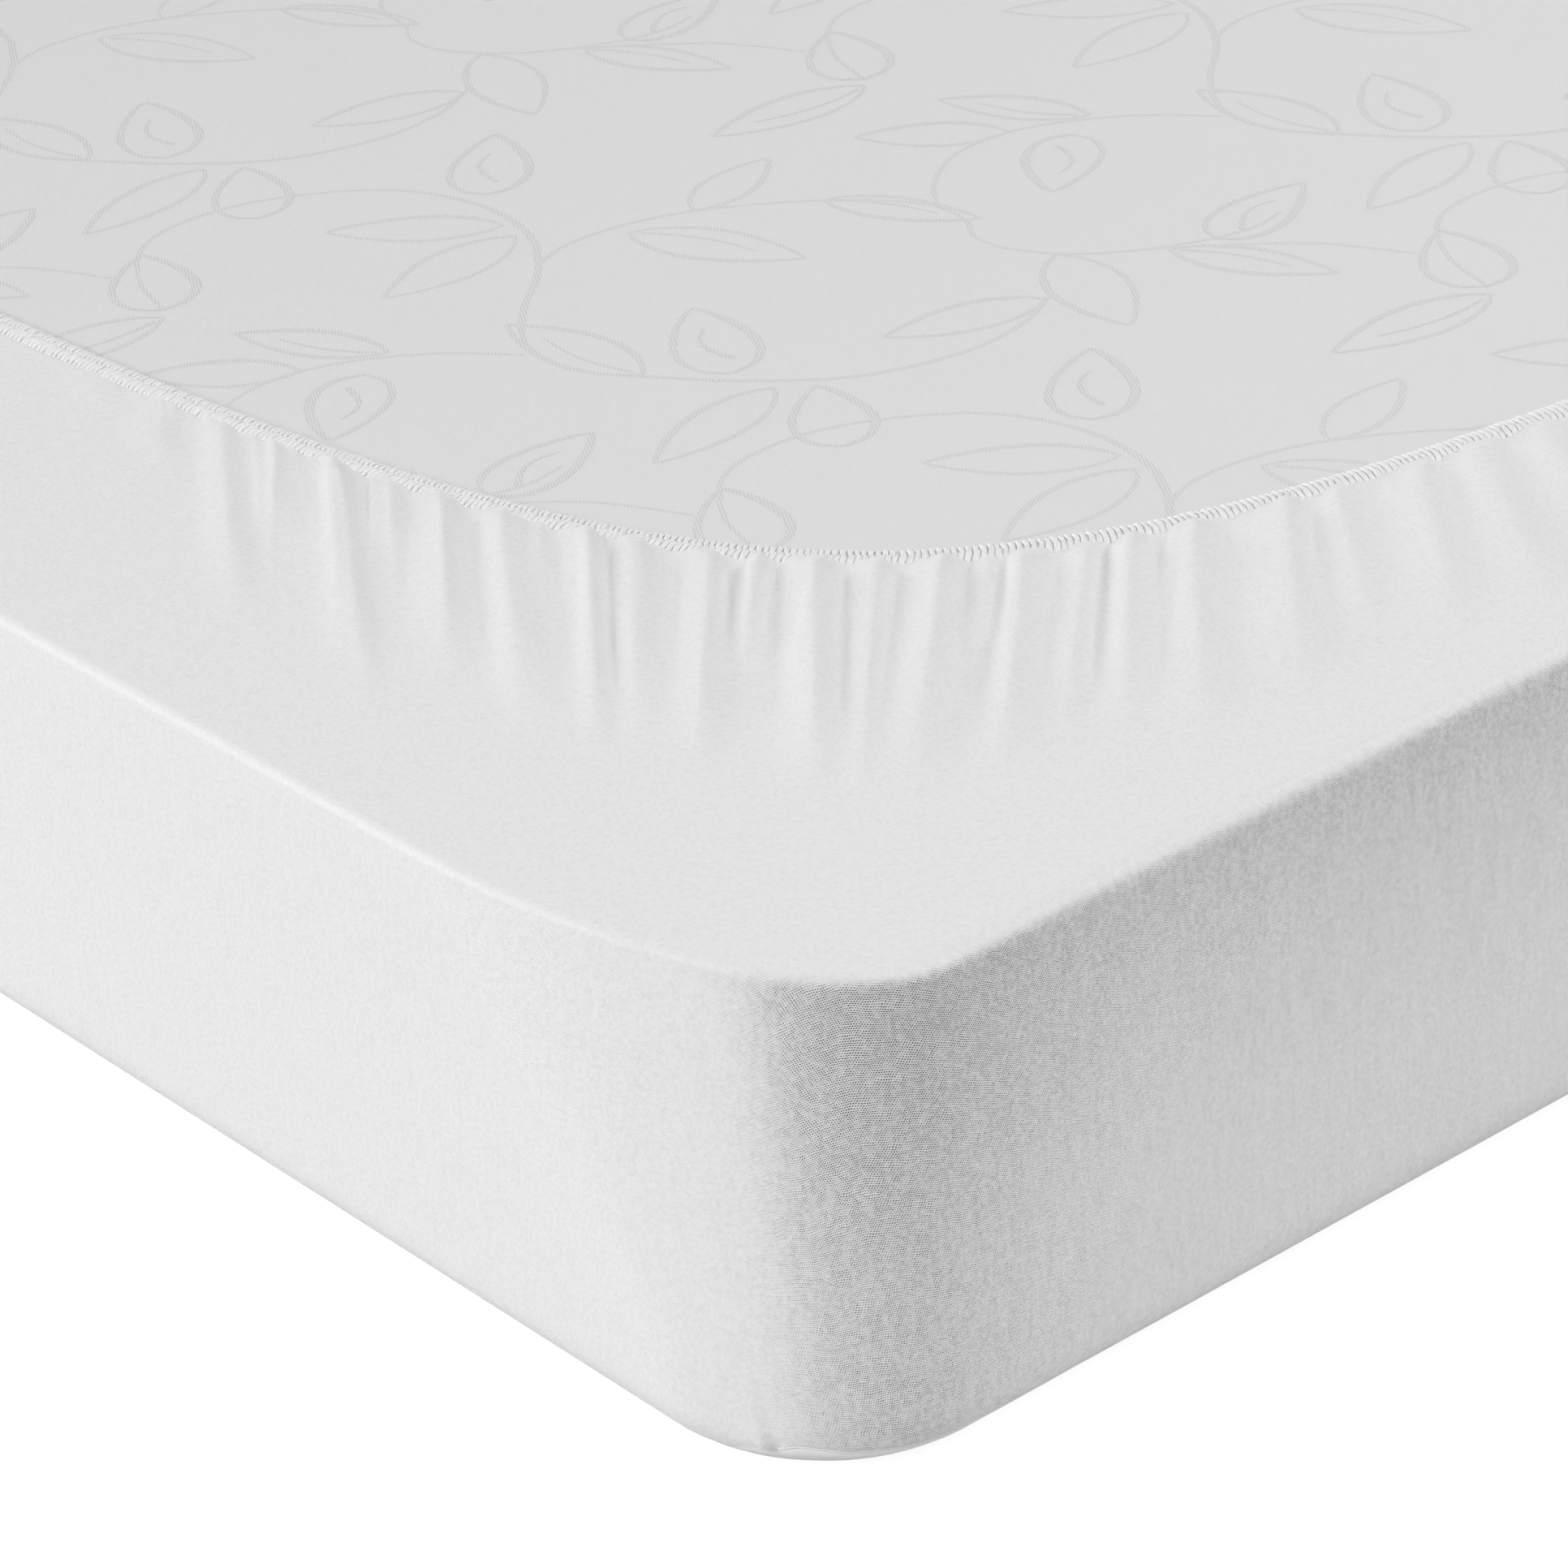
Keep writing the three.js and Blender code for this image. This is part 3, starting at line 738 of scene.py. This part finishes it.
def build_mattress():
    """The mattress in its ticking, one closed cover."""
    ring = Ring(even_hems(MATTRESS_STEP))
    depth = GAP + CLOTH
    rows = []
    for angle in np.linspace(math.pi / 2, 0, MATTRESS_TURNS[0]):
        row = lower_edge(ring, angle, depth, EDGE_LOWER - PANEL + EASE, depth - EASE)
        row[:, 2] += MATTRESS_LOW.z - depth
        rows.append(row)
    for angle in np.linspace(0, math.pi / 2, MATTRESS_TURNS[1]):
        rows.append(upper_edge(ring, angle, depth, EASE, MATTRESS_HIGH.z))
    rows = (inner_rings(rows[0], MATTRESS_RINGS[::-1]) + rows
            + inner_rings(rows[-1], MATTRESS_RINGS))
    return closed_sheet("mattress_cover", rows, MATTRESS_LOW.z, MATTRESS_HIGH.z)


# The woven pattern of the ticking: a scrolling vine with outlined leaves and buds.
# It repeats along two steps, in mm, in a frame turned from the mattress's own.
PATTERN_TURN = math.radians(52.7)
PATTERN_ORIGIN = np.array([0.0, -500.0])
STEP_ALONG, STEP_ACROSS = np.array([315.0, 188.0]), np.array([248.0, -285.0])
# The stems of one repeat: places and widths of the line, in mm.
STEMS = [
    # p, q, width
    [(-198, -3, 2.0), (-211, 34, 2.2), (-208, 74, 2.6), (-178, 101, 2.6),
     (-138, 110, 2.0), (-96, 105, 2.2), (-60, 80, 3.0), (-39, 44, 3.6),
     (-35, 4, 3.6), (-42, -38, 3.2), (-40, -74, 2.8), (-20, -101, 2.6),
     (12, -115, 2.6), (52, -127, 2.8), (97, -132, 3.0), (140, -119, 3.0),
     (168, -96, 2.8), (182, -70, 2.4)],
    [(-35, 10, 2.6), (-22, 29, 2.6), (4, 45, 2.6), (34, 53, 2.4), (72, 54, 2.4),
     (112, 48, 2.4), (140, 35, 2.4), (152, 17, 2.0), (155, -1, 2.0), (167, -16, 2.2),
     (190, -27, 2.4), (220, -31, 2.4), (250, -27, 2.6), (274, -18, 2.6),
     (288, -4, 2.2)],
    [(141, 36, 2.0), (141, 58, 2.4), (150, 86, 2.6), (172, 107, 2.4),
     (204, 116, 2.4), (240, 115, 2.2), (274, 106, 1.8)],
    [(232, -31, 1.6), (266, -34, 1.9), (302, -41, 1.9), (340, -60, 1.7)],
]
LEAVES = [
    # p, q, angle in degrees, length, width, whether it has a rib
    (-50, 56, 173, 80, 26, 0),
    (-45, 43, -137, 78, 30, 0),
    (5, 36, -30, 88, 30, 1),
    (34, 54, 55, 62, 25, 0),
    (92, 53, -28, 76, 22, 1),
    (8, -111, 133, 84, 30, 1),
    (180, -72, 199, 74, 27, 0),
    (188, -28, -72, 82, 34, 0),
    (237, -33, -30, 78, 24, 1),
    (62, -136, -130, 80, 28, 0),
    (215, 121, 153, 74, 24, 1),
    (178, 110, 172, 70, 26, 0),
    (-198, -10, 211, 84, 30, 1),
]
BUDS = [
    (45, -118, 102, 70, 36, 1),
    (258, -26, 50, 66, 33, 1),
    (-160, 88, 98, 60, 34, 0),
    (-58, 92, 86, 68, 36, 1),
    (205, 101, -102, 63, 34, 1),
    (-199, -2, 101, 62, 37, 0),
]
LEAF_LINE, BUD_LINE, RIB_LINE = 2.7, 3.3, 1.8  # widths in mm
PATTERN_LIFT, LINE_LIFT = 0.03 * MM, 0.001 * MM  # of the first line, and more for each
PATTERN_MARGIN = 30 * MM
REPEATS, REPEAT_REACH = 6, 0.5  # each way from the origin; size of one, in metres


def smooth_path(knots, per_span=7):
    """A curve through rows of numbers, by Catmull and Rom's rule."""
    k = np.array(knots, float)
    k = np.concatenate([[2 * k[0] - k[1]], k, [2 * k[-1] - k[-2]]])
    t = np.linspace(0, 1, per_span, endpoint=False)[:, None]
    spans = []
    for a, b, c, d in zip(k[:-3], k[1:-2], k[2:-1], k[3:]):
        spans.append(b + 0.5 * t * (c - a + t * (2 * a - 5 * b + 4 * c - d
                                                 + t * (3 * (b - c) + d - a))))
    return np.concatenate(spans + [k[-2:-1]])


def placed(points, at_p, at_q, angle):
    """Rows of (along, across, width) turned and moved to their place."""
    turned = math.radians(angle)
    along = np.array([math.cos(turned), math.sin(turned)])
    across = np.array([-along[1], along[0]])
    plan = points[:, :1] * along + points[:, 1:2] * across + [at_p, at_q]
    return np.column_stack([plan, points[:, 2]])


def both_edges(along, swell, line, thick):
    """The two edges of a leaf or bud, one drawn thicker than the other."""
    return [np.column_stack([along, side * swell, line * share])
            for side, share in zip((-1, 1), thick)]


def leaf_lines(p, q, angle, length, width, ribbed):
    """Both edges of a leaf pointed at both ends, and its rib."""
    t = np.linspace(0, 1, 15)
    swell = np.sin(math.pi * t**0.85) ** 0.85 * width / 2
    line = LEAF_LINE * (0.6 + 0.55 * np.sin(math.pi * t) ** 0.6)
    lines = both_edges(t * length, swell, line, (1.15, 0.9))
    if ribbed:
        t = np.linspace(0.06, 0.72, 8)
        bow = 0.16 * width * np.sin(math.pi * t / 0.72)
        lines.append(np.column_stack([t * length, bow, RIB_LINE * (1.2 - 0.7 * t)]))
    return [placed(line, p, q, angle) for line in lines]


def bud_lines(p, q, angle, length, width, curled):
    """A pointed oval, fullest near where it joins, with a curl inside."""
    t = np.linspace(0, 1, 17)
    swell = np.sin(math.pi * t**0.7) ** 0.78 * width / 2
    line = BUD_LINE * (0.5 + 0.6 * np.sin(math.pi * t) ** 0.5)
    lines = both_edges(t * length, swell, line, (1.15, 0.85))
    if curled:
        t = np.linspace(0, 1, 9)
        along, aside = 0.2 + 0.48 * t, -0.12 + 0.26 * np.sin(2.6 * t)
        line = BUD_LINE * (0.85 - 0.5 * t)
        lines.append(np.column_stack([length * along, width * aside, line]))
    return [placed(line, p, q, angle) for line in lines]


def pattern_lines():
    """All lines of one repeat: (p, q, width) in mm."""
    lines = [smooth_path(stem) for stem in STEMS]
    for leaf in LEAVES:
        lines += leaf_lines(*leaf)
    for bud in BUDS:
        lines += bud_lines(*bud)
    return lines


def build_pattern():
    """The pattern as flat ribbons on the mattress's upturned face."""
    cos, sin = math.cos(PATTERN_TURN), math.sin(PATTERN_TURN)
    to_mattress = np.array([[cos, sin], [-sin, cos]])
    reach = np.array([HALF[LONG], HALF[SHORT]]) - PATTERN_MARGIN
    lines = pattern_lines()
    points, faces = [], []
    for a in range(-REPEATS, REPEATS + 1):
        for b in range(-REPEATS, REPEATS + 1):
            origin = PATTERN_ORIGIN + a * STEP_ALONG + b * STEP_ACROSS
            if np.abs(origin * MM @ to_mattress).max() > HALF[LONG] + REPEAT_REACH:
                continue
            for number, line in enumerate(lines):
                centre = (line[:, :2] + origin) * MM
                ahead = np.gradient(centre, axis=0)
                ahead /= np.linalg.norm(ahead, axis=1, keepdims=True)
                across = np.column_stack([-ahead[:, 1], ahead[:, 0]])
                half = across * line[:, 2:] * MM / 2
                left = (centre + half) @ to_mattress
                right = (centre - half) @ to_mattress
                inside = (np.abs(left) < reach).all(1) & (np.abs(right) < reach).all(1)
                if inside.sum() < 3:
                    continue
                start = len(points)
                top = MATTRESS_HIGH.z + PATTERN_LIFT + number * LINE_LIFT
                for pair in zip(right, left):
                    points += [(x, y, top) for x, y in pair]
                for k in np.flatnonzero(inside[:-1] & inside[1:]):
                    k = start + 2 * int(k)
                    faces.append([k, k + 2, k + 3, k + 1])
    used, faces = np.unique(faces, return_inverse=True)
    faces = faces.reshape(-1, 4).tolist()
    return mesh_object("ticking_pattern", np.array(points)[used], faces, False)


# ---- Materials ----

SHEEN = 0.25  # specular level of every cloth


def new_material(name, colour, roughness):
    material = bpy.data.materials.new(name)
    material.use_nodes = True
    nodes = Nodes(material.node_tree)
    shader = nodes.own["Principled BSDF"]
    shader.inputs["Base Color"].default_value = (*colour, 1)
    shader.inputs["Roughness"].default_value = roughness
    shader.inputs["Specular IOR Level"].default_value = SHEEN
    return material, nodes, shader


class Nodes:
    """Short names for the nodes that the materials share."""

    def __init__(self, tree):
        self.own, self.links = tree.nodes, tree.links

    def add(self, kind, **settings):
        node = self.own.new(kind)
        for key, value in settings.items():
            setattr(node, key, value)
        return node

    def put(self, value, socket):
        if isinstance(value, bpy.types.NodeSocket):
            self.links.new(value, socket)
        else:
            socket.default_value = value

    def place(self):
        return self.add("ShaderNodeTexCoord").outputs["Object"]

    def split(self, vector):
        """The first two parts of a vector."""
        node = self.add("ShaderNodeSeparateXYZ")
        self.put(vector, node.inputs[0])
        return node.outputs[0], node.outputs[1]

    def math(self, operation, a, b=0.0):
        node = self.add("ShaderNodeMath", operation=operation)
        self.put(a, node.inputs[0])
        self.put(b, node.inputs[1])
        return node.outputs[0]

    def plus(self, a, b):
        return self.math("ADD", a, b)

    def times(self, a, b):
        return self.math("MULTIPLY", a, b)

    def cosine(self, turns):
        return self.math("COSINE", self.times(turns, 2 * math.pi))

    def remap(self, value, low, high, to_low=0.0, to_high=1.0, smoothly=True):
        node = self.add("ShaderNodeMapRange")
        if smoothly:
            node.interpolation_type = "SMOOTHSTEP"
        for socket, item in zip(node.inputs, (value, low, high, to_low, to_high)):
            self.put(item, socket)
        return node.outputs[0]

    def mix_colour(self, factor, a, b):
        node = self.add("ShaderNodeMix", data_type="RGBA")
        self.put(factor, node.inputs["Factor"])
        self.put(a, node.inputs[6])  # the sockets of its colour mode
        self.put(b, node.inputs[7])
        return node.outputs[2]

    def noise(self, vector, scale, detail=2.0):
        node = self.add("ShaderNodeTexNoise")
        self.put(vector, node.inputs["Vector"])
        self.put(scale, node.inputs["Scale"])
        self.put(detail, node.inputs["Detail"])
        return node.outputs["Fac"]

    def finish(self, shader, colour, relief):
        """Gives a shader its colour, and its relief from a height in metres."""
        bump = self.add("ShaderNodeBump")
        self.put(relief, bump.inputs["Height"])
        self.put(1.0, bump.inputs["Distance"])
        self.put(1.0, bump.inputs["Strength"])
        self.put(colour, shader.inputs["Base Color"])
        self.put(bump.outputs["Normal"], shader.inputs["Normal"])


SKIRT_WHITE = (0.86, 0.86, 0.862, 1)
# Painted shade: the near-black that the knit's holes are coloured, for the shade inside
# them.
HOLE_SHADE = (0.03, 0.03, 0.031, 1)
# Scales of the jersey's noises, per metre, and where most of a noise's values lie.
WANDER, UNEVEN, PUCKERED, FUZZ = 90.0, 420.0, 300.0, 560.0
UPRIGHT = (1.0, 1.0, 0.22)  # draws the puckers out upwards
MIDDLE = 0.36, 0.64
WALES_WANDER, COURSES_WANDER, COURSES_VARY = 2.0, -1.4, 0.3  # in stitches
ROW_SHARE = 0.9  # depth of the rows beside that of the holes
HOLE_FROM, HOLE_TO = 0.5, 2.5  # height of the waves at a hole's rim and bottom
FUZZ_MEAN, FUZZ_DEPTH = 0.45, 0.26
HOLE_RELIEF, ROW_RELIEF, UNEVEN_RELIEF = -0.1 * MM, -0.015 * MM, 0.12 * MM
PUCKER_RELIEF = 0.1 * MM, 0.3 * MM  # slack, and stretched


def skirt_material():
    """Fine jersey: staggered holes between the stitches, open where it is stretched,
    with painted shade in the holes, in the grooves between the rows and in the hollows
    of the puckers.
    """
    material, nodes, shader = new_material("skirt_jersey", SKIRT_WHITE[:3], 0.95)
    plus, times, remap, cosine = nodes.plus, nodes.times, nodes.remap, nodes.cosine
    place = nodes.place()
    wale, course = nodes.split(nodes.add("ShaderNodeUVMap", uv_map="cloth").outputs[0])
    opened = nodes.add("ShaderNodeAttribute", attribute_name="openness").outputs["Fac"]
    # The columns and rows wander a little, and the stitches differ in size.
    wander = nodes.noise(place, WANDER, 3.0)
    uneven = nodes.noise(place, UNEVEN)
    drawn = nodes.add("ShaderNodeVectorMath", operation="MULTIPLY")
    nodes.put(place, drawn.inputs[0])
    nodes.put(UPRIGHT, drawn.inputs[1])
    puckers = nodes.noise(drawn.outputs[0], PUCKERED)
    wale = plus(wale, times(wander, WALES_WANDER))
    course = plus(course, times(wander, COURSES_WANDER))
    course = plus(course, times(uneven, COURSES_VARY))
    # Stretched open, the staggered holes make two rows a course; slack, only one shows.
    crossing = plus(cosine(nodes.math("SUBTRACT", wale, course)),
                    cosine(plus(wale, course)))
    slack = remap(opened, 0.2, 0.5, 0.3, 0.0)
    row = plus(cosine(times(course, 2.0)), times(cosine(course), slack))
    waves = plus(crossing, times(row, ROW_SHARE))
    on_side = remap(opened, 0.0, 0.04)
    size = times(opened, remap(uneven, *MIDDLE, 0.3, 1.75))
    size = times(size, remap(puckers, *MIDDLE, 1.12, 0.88))
    # Painted shade in the holes, more where the knit is stretched open.
    holes = times(remap(waves, HOLE_FROM, HOLE_TO), size)
    # Painted shade along the grooves between the rows of stitches.
    row_shade = times(remap(row, -1.0, 1.0), remap(opened, 0.08, 0.4, 0.05, 0.2, False))
    # Painted shade in the hollows of the upright puckers, less on their crests.
    pucker_shade = times(nodes.math("SUBTRACT", 0.5, puckers),
                   remap(opened, 0.0, 0.3, 0.04, 0.14, False))
    fuzz = nodes.math("SUBTRACT", nodes.noise(place, FUZZ, 3.0), FUZZ_MEAN)
    # All the painted shade together, then a random grain of tone.
    dark = plus(holes, times(plus(row_shade, pucker_shade), on_side))
    dark = plus(dark, times(fuzz, FUZZ_DEPTH))
    # Relief: the stitches themselves, and loose upright puckers a few stitches wide.
    relief = times(waves, times(opened, HOLE_RELIEF))
    relief = plus(relief, times(row, times(on_side, ROW_RELIEF)))
    puckered = remap(opened, 0.0, 0.5, *PUCKER_RELIEF, False)
    relief = plus(relief, times(puckers, puckered))
    relief = plus(relief, times(uneven, UNEVEN_RELIEF))
    nodes.finish(shader, nodes.mix_colour(dark, SKIRT_WHITE, HOLE_SHADE), relief)
    return material


FIBRE, MOTTLE = 1.2, 25.0  # scales of their noises: per pitch, and per metre
WEAVE_SHARE, MOTTLE_SHARE, DEEPEST = 0.5, 0.3, 0.5
WEAVE_RELIEF, FIBRE_RELIEF = 0.02 * MM, 0.12 * MM


def fine_cloth(name, colour, roughness, pitch, grain):
    """A closely woven or knitted cloth with a slightly uneven tone."""
    material, nodes, shader = new_material(name, colour, roughness)
    plus, times = nodes.plus, nodes.times
    place = nodes.place()
    warp, weft = [nodes.cosine(nodes.math("DIVIDE", part, pitch))
                  for part in nodes.split(place)]
    weave = times(warp, weft)
    fibre = nodes.noise(place, FIBRE / pitch)
    mottle = nodes.noise(place, MOTTLE, 3.0)
    dark = times(nodes.remap(weave, -1.0, 1.0), WEAVE_SHARE * grain)
    dark = plus(dark, times(fibre, grain))
    dark = plus(dark, times(mottle, MOTTLE_SHARE * grain))
    deep = [DEEPEST * part for part in colour]
    relief = plus(times(weave, WEAVE_RELIEF), times(fibre, FIBRE_RELIEF))
    nodes.finish(shader, nodes.mix_colour(dark, (*colour, 1), (*deep, 1)), relief)
    return material


TWILL, TWILL_SLANT = 1.3 * MM, (0.5, 0.87)  # pitch, and across along X and Y
TWILL_PALE, TWILL_DARK = (0.8, 0.8, 0.802, 1), (0.69, 0.69, 0.692, 1)
TWILL_RELIEF = 0.05 * MM


def pattern_material():
    """The pattern's own weave: fine slanted ribs, a shade darker than the ground."""
    material, nodes, shader = new_material("ticking_twill", TWILL_PALE[:3], 0.85)
    x, y = nodes.split(nodes.place())
    rib = nodes.cosine(nodes.plus(nodes.times(x, TWILL_SLANT[0] / TWILL),
                                  nodes.times(y, TWILL_SLANT[1] / TWILL)))
    colour = nodes.mix_colour(nodes.remap(rib, -0.7, 0.7), TWILL_PALE, TWILL_DARK)
    nodes.finish(shader, colour, nodes.times(rib, TWILL_RELIEF))
    return material


# ---- Pieces ----


def dress(piece, material, slot, *nodes):
    """Gives a piece its material and body, and hides the CAD nodes it stands for. The
    slot is not used.
    """
    piece.data.materials.append(material)
    if nodes:
        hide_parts(*nodes)
    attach(piece, "root")
    return piece


TICKING_WHITE = PANEL_WHITE = (0.84, 0.84, 0.842)
ELASTIC_WHITE = (0.86, 0.86, 0.862)
THREAD_WHITE = (0.9, 0.9, 0.9)

ticking = fine_cloth("ticking", TICKING_WHITE, roughness=0.9, pitch=0.8 * MM, grain=0.1)
knit = fine_cloth("panel_knit", PANEL_WHITE, roughness=0.95, pitch=1.4 * MM, grain=0.1)
elastic = fine_cloth("elastic", ELASTIC_WHITE, roughness=0.9, pitch=1 * MM, grain=0.08)
thread = fine_cloth("overlock_thread", THREAD_WHITE, roughness=0.85, pitch=0.5 * MM,
                    grain=0.04)

mattress = dress(build_mattress(), ticking, "mattress", "mattress")
dress(build_pattern(), pattern_material(), "mattress")
panel = dress(build_panel(), knit, "sleep_panel", "sleep_panel")
skirt = dress(build_skirt(), skirt_material(), "skirt", "skirt")
band = dress(build_band(), elastic, "elastic_edge", "elastic_edge")
outer = build_threads("overlock_outer", LOWER_TIER, phase=0.0, seed=5,
                      radius=1.3 * MM, lean=1.4 * MM)
inner = build_threads("overlock_inner", UPPER_TIER, phase=0.5, seed=6,
                      radius=1.2 * MM, lean=-1.2 * MM)
for tier in (outer, inner):
    dress(tier, thread, "elastic_edge")
stitches = dress(build_seam_stitches(), thread, "skirt")


# ---- Camera, light and floor ----

LENS, SENSOR = 146.1, 36
AZIMUTH, ELEVATION, ROLL = 52.7, 28.8, math.radians(-5.1)
DISTANCE, SHIFT_RIGHT, SHIFT_UP = 11.14, 0.064, 1.318  # in overall heights


def direction(azimuth, elevation):
    """A unit vector from angles in degrees; the azimuth is from -Y towards +X."""
    around, above = math.radians(azimuth), math.radians(elevation)
    level = math.cos(above)
    x, y = math.sin(around) * level, -math.cos(around) * level
    return Vector((x, y, math.sin(above)))


def build_camera():
    """Looks down at the +X -Y corner, from which its place is measured."""
    corner = Vector((HALF[LONG], -HALF[SHORT], 0))
    back = direction(AZIMUTH, ELEVATION)
    right = direction(AZIMUTH + 90, 0)
    up = back.cross(right)
    data = bpy.data.cameras.new("camera")
    data.lens, data.sensor_width = LENS, SENSOR
    camera = add_object("camera", data)
    place = corner + (back * DISTANCE + right * SHIFT_RIGHT + up * SHIFT_UP) * FLAP
    rolled_right = right * math.cos(ROLL) + up * math.sin(ROLL)
    rolled_up = up * math.cos(ROLL) - right * math.sin(ROLL)
    turned = Matrix((rolled_right, rolled_up, back)).transposed()
    camera.matrix_world = Matrix.Translation(place) @ turned.to_4x4()
    bpy.context.scene.camera = camera


def area_light(name, place, aim, size, power):
    data = bpy.data.lights.new(name, "AREA")
    data.shape, data.size, data.energy = "DISK", size, power
    light = add_object(name, data)
    light.location = place
    light.rotation_mode = "QUATERNION"
    light.rotation_quaternion = (place - aim).to_track_quat("Z", "Y")


def by_ray(nodes, others, seen):
    """One shader for rays from the camera, gloss or glass, and another for others."""
    path = nodes.add("ShaderNodeLightPath").outputs
    direct = nodes.math("MAXIMUM", path["Is Camera Ray"], path["Is Glossy Ray"])
    direct = nodes.math("MAXIMUM", direct, path["Is Transmission Ray"])
    choose = nodes.add("ShaderNodeMixShader")
    for socket, value in zip(choose.inputs, (direct, others, seen)):
        nodes.put(value, socket)
    return choose.outputs[0]


FILL = 0.1  # even light from all round


def build_world():
    """White where it is seen, and a faint even light from all round."""
    world = bpy.data.worlds.new("studio")
    world.use_nodes = True
    nodes = Nodes(world.node_tree)

    def white(background, strength):
        background.inputs["Color"].default_value = (1, 1, 1, 1)
        background.inputs["Strength"].default_value = strength
        return background.outputs[0]

    fill = white(nodes.own["Background"], FILL)
    seen = white(nodes.add("ShaderNodeBackground"), 1.0)
    nodes.put(by_ray(nodes, fill, seen), nodes.own["World Output"].inputs[0])
    bpy.context.scene.world = world


FLOOR_HALF = 8.0
FLOOR_GREY = 0.8  # as it lights the object
FLOOR_SEEN, FLOOR_GLOW = 0.18, 0.92  # its grey and its own light, as seen


def build_floor():
    """A pale floor that looks white where it is lit and keeps a faint shadow."""
    corners = [(x * FLOOR_HALF, y * FLOOR_HALF, 0)
               for x, y in ((-1, -1), (1, -1), (1, 1), (-1, 1))]
    floor = mesh_object("floor", corners, [[0, 1, 2, 3]], False)
    material = bpy.data.materials.new("floor")
    material.use_nodes = True
    nodes = Nodes(material.node_tree)
    nodes.own.remove(nodes.own["Principled BSDF"])

    def matt(grey):
        diffuse = nodes.add("ShaderNodeBsdfDiffuse")
        diffuse.inputs["Color"].default_value = (grey, grey, grey, 1)
        return diffuse.outputs[0]

    glow = nodes.add("ShaderNodeEmission")
    glow.inputs["Strength"].default_value = FLOOR_GLOW
    bright = nodes.add("ShaderNodeAddShader")
    nodes.put(matt(FLOOR_SEEN), bright.inputs[0])
    nodes.put(glow.outputs[0], bright.inputs[1])
    mixed = by_ray(nodes, matt(FLOOR_GREY), bright.outputs[0])
    nodes.put(mixed, nodes.own["Material Output"].inputs[0])
    floor.data.materials.append(material)


build_camera()
build_world()
build_floor()
AIM = Vector((0.6, -0.4, 0.12))
LIGHTS = [
    # name, azimuth and elevation in degrees, distance, size, power
    ("key", 0, 35, 5.5, 2.6, 165),
    ("left", -75, 12, 9.0, 4.2, 420),
    ("right", 75, 15, 5.0, 2.6, 38),
    ("back", 150, 30, 4.5, 2.0, 100),
]
for name, azimuth, elevation, distance, size, power in LIGHTS:
    area_light(name, AIM + direction(azimuth, elevation) * distance, AIM, size, power)
area_light("overhead", Vector((1.2, 0.4, 4.5)), Vector((0.7, 0, 0)), size=3.0, power=22)

bpy.context.scene.view_settings.view_transform = "Standard"
